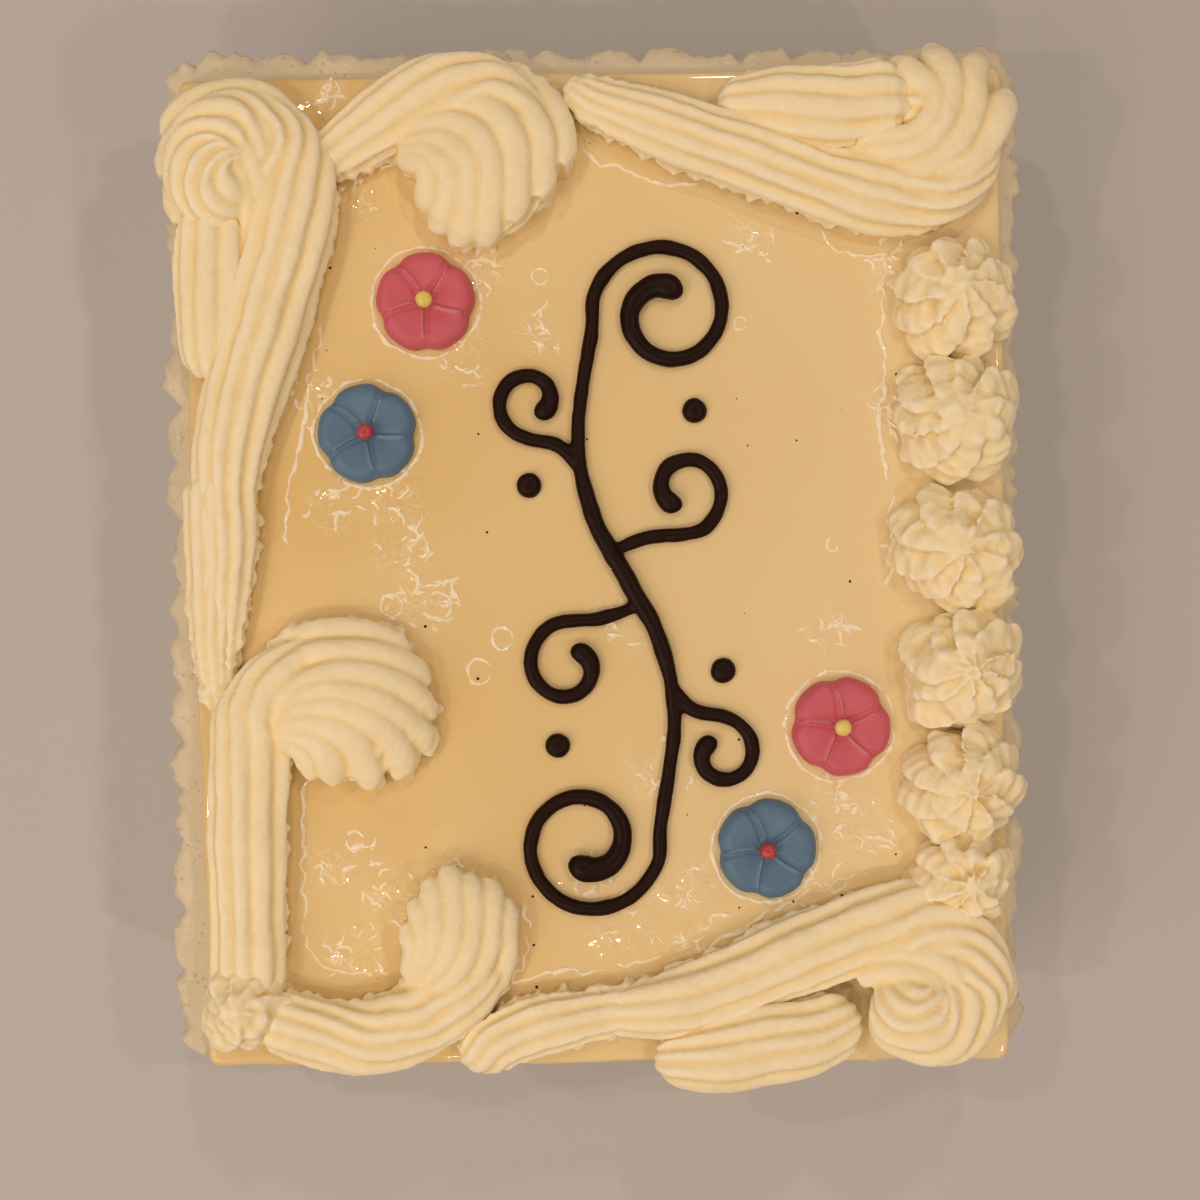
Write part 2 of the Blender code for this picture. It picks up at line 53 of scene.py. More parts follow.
COAT_CORNERS = [(-103.5, -123.0), (107.0, -121.5), (106.0, 130.4), (-106.5, 128.6)]
COAT_CORNER_RADIUS = 8.0
FOLD_WIDTH = (11.0, 16.0)
FOLD_DEPTH = (1.6, 3.0)
FOLD_SLACK = 0.35
CREASE_WANDER = 1.8
COAT_STEP = 1.0
COAT_PROFILE = [(0.0, 1.2), (0.5, 0.5), (1.6, 0.0), (24.0, 0.3), (42.0, 0.2), (48.0, -0.9),
                (52.6, -1.5), (54.4, -1.1), (55.5, 0.4), (56.0, 2.4)]
COAT_RISE = 1.2
COAT_TOP = 56.0
# The lip starts at this height and is full this much higher
LIP_FOOT, LIP_RISE = 42.0, 8.0
# Soft lumps over the folds and fine ones, as (size, depth, added depth on the lip)
WIDE_LUMPS = (6.5, 0.5, 0.6)
FINE_LUMPS = (2.6, 0.3, 1.5)
PIT_SIZE, PIT_RIM, PIT_DEPTH = 1.7, 0.32, 1.6


def linear(code):
    """A hex colour turned from sRGB to the linear values that a shader takes."""
    parts = [int(code[i:i + 2], 16) / 255 for i in (1, 3, 5)]
    return (*[p / 12.92 if p <= 0.04045 else ((p + 0.055) / 1.055) ** 2.4 for p in parts], 1.0)


def fill_inputs(tree, node, inputs):
    """Fill or link a node's inputs. A node that is given as a value stands for its own
    first output that its settings leave switched on."""
    for name, value in inputs.items():
        if isinstance(value, bpy.types.Node):
            value = next(socket for socket in value.outputs if socket.enabled)
        if isinstance(value, bpy.types.NodeSocket):
            tree.links.new(value, node.inputs[name])
        else:
            node.inputs[name].default_value = value


def add_node(tree, kind, inputs=None, **settings):
    """Add one node to a tree with its settings and its inputs."""
    node = tree.nodes.new(kind)
    for name, value in settings.items():
        setattr(node, name, value)
    fill_inputs(tree, node, inputs or {})
    return node


def start_material(name):
    """A new material, with its tree, its shader and the place on the piece to draw at."""
    material = bpy.data.materials.new(name)
    material.use_nodes = True
    tree = material.node_tree
    place = add_node(tree, "ShaderNodeTexCoord").outputs["Object"]
    return material, tree, tree.nodes["Principled BSDF"], place


def link_piece(name, mesh, material):
    """Put a mesh on the cake as a piece of its own."""
    mesh.materials.clear()
    mesh.materials.append(material)
    mesh.shade_smooth()
    piece = bpy.data.objects.new(name, mesh)
    bpy.context.scene.collection.objects.link(piece)
    return piece


def stand_for(piece, node):
    """Let a piece stand for its solid and move with the cake."""
    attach(piece, "root")
    if node:
        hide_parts(node)


def skin(name, rings, material):
    """A closed skin through rings of points, from the foot up, with a fan at each end."""
    rows, count, _ = rings.shape
    points = np.vstack([rings.reshape(-1, 3), rings[0].mean(axis=0), rings[-1].mean(axis=0)])
    here = np.arange(count)
    after = (here + 1) % count
    faces = []
    for low in range(0, (rows - 1) * count, count):
        faces += np.column_stack([low + here, low + after, low + count + after,
                                  low + count + here]).tolist()
    last = (rows - 1) * count
    foot, top = np.full(count, rows * count), np.full(count, rows * count + 1)
    faces += np.column_stack([after, here, foot]).tolist()
    faces += np.column_stack([last + here, last + after, top]).tolist()
    mesh = bpy.data.meshes.new(name)
    mesh.from_pydata((points * MM).tolist(), [], faces)
    return link_piece(name, mesh, material)


def roughness_at(points, size, shift=0.0):
    """Soft random values from -1 to 1 at the points, with lumps of the given size."""
    return np.array([noise.noise(Vector(p) / size + Vector((shift, shift, shift)))
                     for p in points.reshape(-1, 3)]).reshape(points.shape[:-1])


def outline_round(corners, radius, step):
    """Points a step apart round the corners, with their outward directions."""
    dense = []
    for i, corner in enumerate(corners):
        corner = Vector(corner)
        before = (Vector(corners[i - 1]) - corner).normalized() * radius
        after = (Vector(corners[(i + 1) % len(corners)]) - corner).normalized() * radius
        for t in np.linspace(0.0, 1.0, 9):
            dense.append(corner + before * (1 - t) ** 2 + after * t ** 2)
    dense = np.array(dense + dense[:1])
    travelled = np.concatenate([[0.0], np.cumsum(np.linalg.norm(np.diff(dense, axis=0), axis=1))])
    marks = np.linspace(0.0, travelled[-1], int(travelled[-1] / step), endpoint=False)
    spots = np.column_stack([np.interp(marks, travelled, dense[:, k]) for k in (0, 1)])
    along = np.roll(spots, -2, axis=0) - np.roll(spots, 2, axis=0)
    along /= np.linalg.norm(along, axis=1, keepdims=True)
    return marks, spots, np.column_stack([along[:, 1], -along[:, 0]]), travelled[-1]


def fold_reach(marks, total, draw):
    """How far the knife's folds stand out at each mark, and where each fold lies."""
    widths = []
    while sum(widths) < total:
        widths.append(draw.uniform(*FOLD_WIDTH))
    edges = np.concatenate([[0.0], np.cumsum(widths)]) * total / sum(widths)
    depths, bulges = [], []
    for _ in widths:
        depths.append(draw.uniform(*FOLD_DEPTH))
        bulges.append(draw.uniform(-0.8, 0.8))
    marks = marks % total
    which = np.searchsorted(edges, marks, side="right") - 1
    share = (marks - edges[which]) / (edges[which + 1] - edges[which])
    round_fold = 1.0 - np.abs(2.0 * share - 1.0) ** 2.8
    return np.array(depths)[which] * (round_fold - 0.6) + np.array(bulges)[which] * round_fold


def coat_rings(draw):
    """The coat's rings: upright folds that wander, lean in at the top and are ragged.
    Each ring draws its folds from the same state, so that they are the same folds."""
    marks, spots, outward, total = outline_round(COAT_CORNERS, COAT_CORNER_RADIUS, COAT_STEP)
    heights = np.concatenate([[0.0, 0.5], np.arange(1.6, 50.0, COAT_RISE),
                              np.arange(50.0, 55.6, 0.8), [COAT_TOP - 0.2, COAT_TOP, COAT_TOP + 0.05]])
    insets = np.interp(heights, *np.transpose(COAT_PROFILE))
    insets[-2:] += (1.8, 4.4)
    rings = []
    before_folds = draw.getstate()
    for height, inset in zip(heights, insets):
        place = np.column_stack([spots, np.full(len(spots), height)])
        wander = CREASE_WANDER * roughness_at(place, 17.0)
        draw.setstate(before_folds)
        folds = fold_reach(marks + wander, total, draw) - FOLD_SLACK
        lip = min(1.0, max(0.0, (height - LIP_FOOT) / LIP_RISE))
        reach = folds
        for (size, depth, lip_depth), shift in ((WIDE_LUMPS, 31.0), (FINE_LUMPS, 57.0)):
            reach = reach + (depth + lip_depth * lip) * roughness_at(place, size, shift)
        reach = reach - np.maximum(roughness_at(place, PIT_SIZE, 11.0) - PIT_RIM, 0.0) * PIT_DEPTH
        reach = reach * (1.0 if height < COAT_TOP - 0.1 else 0.4) - inset
        lift = 0.45 * roughness_at(place, 5.0, 83.0) * (49.0 < height < COAT_TOP - 0.1)
        rings.append(np.column_stack([spots + outward * reach[:, None], height + lift]))
    return np.array(rings)


def coat_material():
    """Whipped dairy cream spread thin and left to dry: matt, greyish ivory in soft
    patches, with a fine grit and open pores about 1 mm wide here and there, darkened
    with painted shade."""
    material, tree, shader, place = start_material("dried_whipped_cream")
    mottle = add_node(tree, "ShaderNodeTexNoise", {"Vector": place, "Scale": 1 / 0.014, "Detail": 4.0})
    tint = add_node(
        tree, "ShaderNodeMix", {0: mottle, 6: linear("#D3C8A9"), 7: linear("#EADFC3")}, data_type="RGBA")
    pores = add_node(
        tree, "ShaderNodeTexVoronoi", {"Vector": place, "Scale": 1 / 0.0016, "Randomness": 1.0},
        feature="F1")
    some = add_node(tree, "ShaderNodeTexNoise", {"Vector": place, "Scale": 1 / 0.006, "Detail": 1.0})
    wide = add_node(
        tree, "ShaderNodeMapRange",
        {"Value": some, "From Min": 0.45, "From Max": 0.7, "To Min": 0.02, "To Max": 0.42})
    open_pores = add_node(tree, "ShaderNodeMapRange", {"Value": pores, "From Min": 0.0, "From Max": wide})
    # Painted shade: the pores are mixed towards a darker beige.
    dark = add_node(
        tree, "ShaderNodeMix", {0: open_pores, 6: linear("#C2B591"), 7: tint}, data_type="RGBA")
    grit = add_node(
        tree, "ShaderNodeTexNoise",
        {"Vector": place, "Scale": 1 / 0.0011, "Detail": 3.0, "Roughness": 0.6})
    height = add_node(tree, "ShaderNodeMath", {0: open_pores, 1: 0.6, 2: grit}, operation="MULTIPLY_ADD")
    relief = add_node(tree, "ShaderNodeBump", {"Height": height, "Strength": 0.55, "Distance": 0.0006})
    fill_inputs(tree, shader, {"Base Color": dark, "Normal": relief, "Roughness": 0.72})
    return material


draw = random.Random(7)
coat = skin("spread_cream_coat", coat_rings(draw), coat_material())
stand_for(coat, "cream_coated_cake")


# The vanilla gel sheet. It sets in a frame and is cut down at the sides with a knife,
# so its top is smooth and its edge is sharp and wanders a little. The top is glossy,
# lies in very low waves, and is wrinkled in places where the bag and flowers pulled it.
GEL_CORNERS = [(-95.5, -124.5), (104.0, -122.5), (102.0, 125.5), (-103.5, 122.0)]
GEL_CORNER_RADIUS = 3.0
GEL_FOOT, GEL_TOP = 56.0, 60.0
GEL_STEP = 0.95
GEL_EDGE = 0.7
GEL_WIDE, GEL_LONG = 200.0, 248.0
# The outer share of the sheet that follows the cut edge, and how far its rim is rounded
EDGE_SHARE = 0.1
EDGE_DROP = 0.5
# Low waves over the whole sheet, as (size, depth, shift), and the rows down its sides
GEL_WAVES = [(24.0, 0.12, 5.0), (7.0, 0.03, 9.0)]
SIDE_LEVELS = (0.82, 0.55, 0.28, 0.0)
WRINKLE_SIZE, WRINKLE_DEPTH = 2.6, 0.09
# Where the skin of the gel is wrinkled, as (x, y, reach)
WRINKLES = [(-48, 17, 8), (-48, 4, 7), (-47, -8, 7), (-65, 16, 6), (-40, -9, 6), (7, -12, 8),
            (39, 82, 7), (57, -15, 6), (-62, -74, 8), (-50, -84, 9), (-60, -95, 8), (-36, -78, 7),
            (-3, -78, 8), (8, -88, 10), (22, -80, 8), (26, -93, 7), (67, -66, 8), (17, -50, 8),
            (-67, 118, 5), (-73, 44, 7), (-60, 95, 8), (74, 76, 5), (73, 40, 6), (74, 4, 6),
            (-32, 52, 7), (-28, 74, 6), (56, -82, 7), (-12, 60, 6), (60, -58, 6), (-76, 66, 5)]


def gel_outline(draw):
    """The sheet's cut edge: points and outward directions, with a slight wander."""
    marks, spots, outward, total = outline_round(GEL_CORNERS, GEL_CORNER_RADIUS, 0.5)
    wander = [draw.uniform(-0.5, 0.5) for _ in range(64)]
    wander = np.interp(marks, np.linspace(0.0, total, 65), wander + wander[:1])
    return spots + outward * wander[:, None]


def gel_plan(outline):
    """A fine grid over the sheet, drawn out to the cut edge, and where each point lies
    between the middle, which is 0, and the edge, which is 1."""
    corners = np.array(GEL_CORNERS)
    middle = corners.mean(axis=0)
    across, along = int(GEL_WIDE / GEL_STEP), int(GEL_LONG / GEL_STEP)
    u, v = np.meshgrid(np.linspace(0, 1, across), np.linspace(0, 1, along))
    square = np.maximum(np.abs(2 * u - 1), np.abs(2 * v - 1))
    u, v = u[..., None], v[..., None]
    away = (corners[0] * (1 - u) * (1 - v) + corners[1] * u * (1 - v)
            + corners[2] * u * v + corners[3] * (1 - u) * v) - middle
    rim = outline - middle
    rim_angle = np.arctan2(rim[:, 1], rim[:, 0]) % math.tau
    order = np.argsort(rim_angle)
    angle = np.arctan2(away[..., 1], away[..., 0]) % math.tau
    edge = np.interp(angle, rim_angle[order], np.linalg.norm(rim, axis=1)[order], period=math.tau)
    full = np.linalg.norm(away, axis=-1) / np.maximum(square, 1e-6)
    pull = np.clip((square - (1.0 - EDGE_SHARE)) / EDGE_SHARE, 0.0, None) ** 2
    return middle + away * (1.0 + pull * (edge / np.maximum(full, 1e-6) - 1.0))[..., None], square


def gel_surface(flat, square):
    """The height of the sheet's top at each point, and how far it is wrinkled there."""
    place = np.dstack([flat, np.zeros(square.shape)])
    height = np.full(square.shape, GEL_TOP)
    for size, depth, shift in GEL_WAVES:
        height += depth * roughness_at(place, size, shift)
    inward = (1.0 - square) * GEL_WIDE / 2
    height -= EDGE_DROP * np.clip(1.0 - inward / GEL_EDGE, 0.0, 1.0) ** 2
    ripple = np.zeros(square.shape)
    for x, y, size in WRINKLES:
        gap = np.hypot(flat[..., 0] - x, flat[..., 1] - y)
        ripple = np.maximum(ripple, np.clip(1.5 - gap / size, 0.0, 1.0))
    ripple *= np.clip(0.6 + roughness_at(place, 6.0, 21.0), 0.0, 1.0)
    return height + ripple * WRINKLE_DEPTH * roughness_at(place, WRINKLE_SIZE, 15.0), ripple


def gel_mesh(outline):
    """The sheet: its top, with the wrinkled places marked for the material, its cut
    sides in a few uneven rows, and its foot."""
    flat, square = gel_plan(outline)
    height, ripple = gel_surface(flat, square)
    points = np.dstack([flat, height]).reshape(-1, 3)
    index = np.arange(square.size).reshape(square.shape)
    faces = np.stack([index[:-1, :-1], index[:-1, 1:], index[1:, 1:], index[1:, :-1]], axis=-1)
    faces = faces.reshape(-1, 4).tolist()
    ring = np.concatenate([index[0, :-1], index[:-1, -1], index[-1, :0:-1], index[:0:-1, 0]])
    count = len(ring)
    after = np.roll(np.arange(count), -1)
    below = points[ring]
    for level in SIDE_LEVELS:
        side = below.copy()
        side[:, 2] = GEL_FOOT + (GEL_TOP - EDGE_DROP - GEL_FOOT) * level
        side[:, :2] += 0.25 * roughness_at(side, 3.0, 41.0)[:, None]
        lower = len(points) + np.arange(count)
        points = np.vstack([points, side])
        faces += np.column_stack([lower, lower[after], ring[after], ring]).tolist()
        ring = lower
    points = np.vstack([points, [*np.mean(GEL_CORNERS, axis=0), GEL_FOOT]])
    faces += np.column_stack([ring[after], ring, np.full(count, len(points) - 1)]).tolist()
    mesh = bpy.data.meshes.new("vanilla_gel_sheet")
    mesh.from_pydata((points * MM).tolist(), [], faces)
    marks = np.zeros(len(points))
    marks[:ripple.size] = ripple.ravel()
    mesh.attributes.new("ripple", "FLOAT", "POINT").data.foreach_set("value", marks)
    return mesh


def gel_material():
    """Vanilla mirror gel: sugar and starch set with gelatine, smooth and wet-looking. It
    is paler towards the +x side, has thin pale lines of painted highlight on its wrinkles
    and beads, and ground vanilla seeds float in it."""
    material, tree, shader, place = start_material("vanilla_gel")
    cloud = add_node(
        tree, "ShaderNodeTexNoise",
        {"Vector": place, "Scale": 1 / 0.055, "Detail": 2.0, "Roughness": 0.45})
    spread = add_node(tree, "ShaderNodeMapRange", {"Value": cloud, "From Min": 0.36, "From Max": 0.64})
    tint = add_node(
        tree, "ShaderNodeMix", {0: spread, 6: linear("#E9CA87"), 7: linear("#EFD69A")}, data_type="RGBA")
    apart = add_node(tree, "ShaderNodeSeparateXYZ", {0: place}).outputs
    # Paler towards the +x side of the sheet
    side = add_node(
        tree, "ShaderNodeMapRange", {"Value": apart["X"], "From Min": -0.06, "From Max": 0.08})
    pale = add_node(tree, "ShaderNodeMix", {0: side, 6: tint, 7: linear("#F1DCA8")}, data_type="RGBA")
    marked = add_node(tree, "ShaderNodeAttribute", attribute_name="ripple").outputs["Fac"]
    # Painted highlight: thin pale lines in the wrinkled places, and pale beads, stand in for glints.
    fold = add_node(
        tree, "ShaderNodeTexNoise",
        {"Vector": place, "Scale": 1 / 0.0042, "Detail": 1.0, "Roughness": 0.5, "Distortion": 1.6})
    centred = add_node(tree, "ShaderNodeMath", {0: fold, 1: 0.5}, operation="SUBTRACT")
    size = add_node(tree, "ShaderNodeMath", {0: centred}, operation="ABSOLUTE")
    thin = add_node(
        tree, "ShaderNodeMapRange",
        {"Value": size, "From Min": 0.0, "From Max": 0.045, "To Min": 1.0, "To Max": 0.0},
        interpolation_type="SMOOTHSTEP")
    wrinkle_painted_glint = add_node(tree, "ShaderNodeMath", {0: thin, 1: marked}, operation="MULTIPLY")
    swell = add_node(tree, "ShaderNodeTexNoise", {"Vector": place, "Scale": 1 / 0.0034, "Detail": 1.0})
    waved = add_node(tree, "ShaderNodeMath", {0: swell, 1: marked}, operation="MULTIPLY")
    relief = add_node(tree, "ShaderNodeBump", {"Height": waved, "Strength": 1.0, "Distance": 0.0009})
    beads = add_node(tree, "ShaderNodeAttribute", attribute_name="bead").outputs["Fac"]
    share = add_node(
        tree, "ShaderNodeMath", {0: wrinkle_painted_glint, 1: 0.6, 2: beads}, operation="MULTIPLY_ADD", use_clamp=True)
    painted_glints = add_node(tree, "ShaderNodeMix", {0: share, 6: pale, 7: linear("#FFF6D8")}, data_type="RGBA")
    seeds = add_node(
        tree, "ShaderNodeTexVoronoi", {"Vector": place, "Scale": 1 / 0.013}, feature="F1",
        voronoi_dimensions="2D")
    few = add_node(tree, "ShaderNodeSeparateColor", {0: seeds.outputs["Color"]}).outputs
    wide = add_node(
        tree, "ShaderNodeMath", {0: few["Green"], 1: 0.026, 2: 0.008}, operation="MULTIPLY_ADD")
    near = add_node(tree, "ShaderNodeMath", {0: seeds, 1: wide}, operation="LESS_THAN")
    chosen = add_node(tree, "ShaderNodeMath", {0: few["Red"], 1: 0.78}, operation="GREATER_THAN")
    seed = add_node(tree, "ShaderNodeMath", {0: near, 1: chosen}, operation="MULTIPLY")
    speckled = add_node(
        tree, "ShaderNodeMix", {0: seed, 6: painted_glints, 7: linear("#3B2616")}, data_type="RGBA")
    fill_inputs(tree, shader, {"Base Color": speckled, "Normal": relief, "Roughness": 0.06, "IOR": 1.52})
    return material


vanilla_gel = gel_material()
gel_edge = gel_outline(draw)
gel_sheet = link_piece("vanilla_gel_sheet", gel_mesh(gel_edge), vanilla_gel)
stand_for(gel_sheet, "vanilla_glaze")


# The piped ropes. Stiff whipped cream is pressed through a star nozzle held upright, so
# a rope has five round ridges on its back with thin deep grooves between them. The
# nozzle doesn't turn, so the ridges cross over the rope where its path bends. The cream
# tears a little along its lower edges. Its colour carries painted shade, yellower in the
# grooves, and a painted highlight, whiter on the crests.
RIDGES = 10
GROOVE_DEPTH = 0.24
ROPE_FLATTEN = 0.60
ROPE_SINK = 0.74
ROPE_STEP = 0.8
ROPE_END = 5.0
CREAM_GRAIN = 0.5
# Lumps on a rope, in metres: fine ripples, tears along its foot, and a slow sag
RIPPLE_SIZE, TEAR_SIZE, SAG_SIZE = 0.0034, 0.0024, 0.012
# Toppings lie on the gel, and their weight beds them into its skin. A stroke's lift
# counts from a little above the gel
FOOT, BED, LIFT_FROM = 60.0, 0.3, 60.3
# Cream past these lines hangs over the gel's edge and sags, more the further out it is
HANG_RIGHT, HANG_FAR, HANG_NEAR = 103.0, 124.0, -123.5
SAG_RATE, SAG_MOST, SAG_HEIGHT = 0.12, 2.6, 15.0
# Each stroke of the bag: how far its start is rounded off, then (x, y, lift, half width)
STROKES = {
    "corner_scroll": (9.0, [
        (-84.5, 89.5, 4.5, 10.4), (-91.5, 93.5, 3.5, 11.6), (-92.0, 101.5, 2.0, 12.2),
        (-84.5, 105.0, 0.5, 12.2), (-76.5, 100.5, 0.0, 12.2), (-74.5, 90.0, 0.0, 12.0),
        (-76.5, 75.0, 0.0, 11.6), (-81.0, 58.0, 0.0, 11.2), (-87.0, 38.0, 0.0, 10.2),
        (-90.5, 18.0, 0.0, 8.8), (-90.5, -2.0, 0.0, 7.2), (-92.0, -30.0, 0.0, 3.0)]),
    "short_bar": (2.5, [
        (-92.5, 84.0, 2.0, 9.6), (-93.0, 73.0, 1.0, 10.2), (-93.5, 59.0, 0.0, 9.0),
        (-94.0, 48.0, 0.0, 6.8)]),
    "rough_bar": (2.5, [
        (-93.5, 20.0, 1.0, 7.4), (-93.5, -6.0, 0.0, 7.0), (-94.0, -22.0, 0.0, 5.2),
        (-93.0, -36.5, 0.0, 3.0)]),
    "side_hook": (6.0, [
        (-65.0, -42.5, 0.0, 8.8), (-57.5, -43.0, 0.0, 9.8), (-51.5, -39.0, 0.0, 10.0),
        (-51.5, -32.5, 0.0, 9.8), (-57.0, -28.0, 0.0, 9.4), (-65.0, -26.0, 0.0, 9.4),
        (-73.0, -28.0, 0.0, 10.2), (-80.5, -34.0, 0.0, 10.6), (-84.0, -44.0, 0.0, 10.4),
        (-85.0, -69.5, 0.0, 10.0), (-84.5, -105.0, 0.0, 9.4)]),
    "end_hook": (6.0, [
        (-38.0, -88.5, 0.0, 7.8), (-35.0, -84.5, 0.0, 8.8), (-30.5, -85.5, 0.0, 8.8),
        (-29.5, -92.5, 0.0, 8.4), (-31.0, -100.5, 0.0, 9.4), (-37.0, -107.5, 0.0, 9.8),
        (-46.0, -113.5, 0.0, 9.8), (-60.0, -116.0, 0.0, 9.2), (-80.5, -111.0, 0.0, 8.2)]),
    "far_comma": (6.0, [
        (-34.0, 94.5, 0.0, 8.6), (-30.0, 90.0, 0.0, 9.8), (-23.0, 92.0, 0.0, 10.4),
        (-18.5, 98.5, 0.0, 10.4), (-18.5, 107.5, 0.0, 10.4), (-26.0, 115.5, 0.0, 10.6),
        (-36.0, 116.5, 0.0, 10.6), (-47.0, 112.5, 0.0, 9.8), (-60.0, 105.0, 0.0, 7.6),
        (-68.0, 99.5, 0.0, 6.0)]),
    "far_scroll": (8.0, [
        (75.0, 110.5, 1.5, 8.4), (80.5, 113.5, 1.5, 9.4), (87.0, 112.5, 1.0, 10.4),
        (90.0, 106.5, 0.5, 10.8), (88.5, 99.0, 0.0, 11.0), (81.5, 93.5, 0.0, 11.0),
        (71.0, 92.5, 0.0, 10.6), (56.0, 95.5, 0.0, 9.8), (26.5, 106.0, 0.0, 9.2),
        (2.0, 115.0, 0.0, 6.6), (-6.0, 119.0, 0.0, 4.0)]),
    "far_bar": (2.5, [
        (72.5, 114.5, 3.0, 9.8), (58.0, 113.6, 1.5, 10.4), (39.5, 115.0, 0.0, 7.8),
        (31.5, 115.5, 0.0, 4.4)]),
    "near_scroll": (8.0, [
        (72.0, -103.0, 4.0, 9.6), (77.5, -109.0, 4.0, 11.0), (86.0, -110.0, 3.0, 11.4),
        (92.0, -103.0, 1.0, 11.4), (89.0, -93.0, 0.0, 11.4), (79.5, -88.0, 0.0, 11.2),
        (67.0, -90.0, 0.0, 10.6), (53.5, -94.5, 0.0, 10.2), (24.0, -106.5, 0.0, 9.2),
        (-1.0, -111.0, 0.0, 5.0)]),
    "near_shell": (4.0, [
        (63.0, -111.5, 0.5, 8.6), (52.0, -115.5, 1.0, 10.0), (37.0, -118.5, 1.0, 10.2),
        (25.5, -120.5, 0.5, 9.0), (17.5, -121.5, 0.0, 6.6)]),
    "near_tail": (2.5, [
        (15.0, -108.5, 0.0, 5.0), (6.0, -110.0, 0.0, 6.4), (-4.0, -111.5, 0.0, 7.6),
        (-15.0, -114.0, 0.0, 7.8), (-24.5, -117.5, 0.0, 7.6), (-30.0, -122.0, 0.0, 6.0)]),
}
# A fan's ridge swells by these shares as it runs out, and closes over this many halves
FAN_START, FAN_SWELL, FAN_TIP = 0.75, 0.45, 1.3
FAN_DOME = 0.65
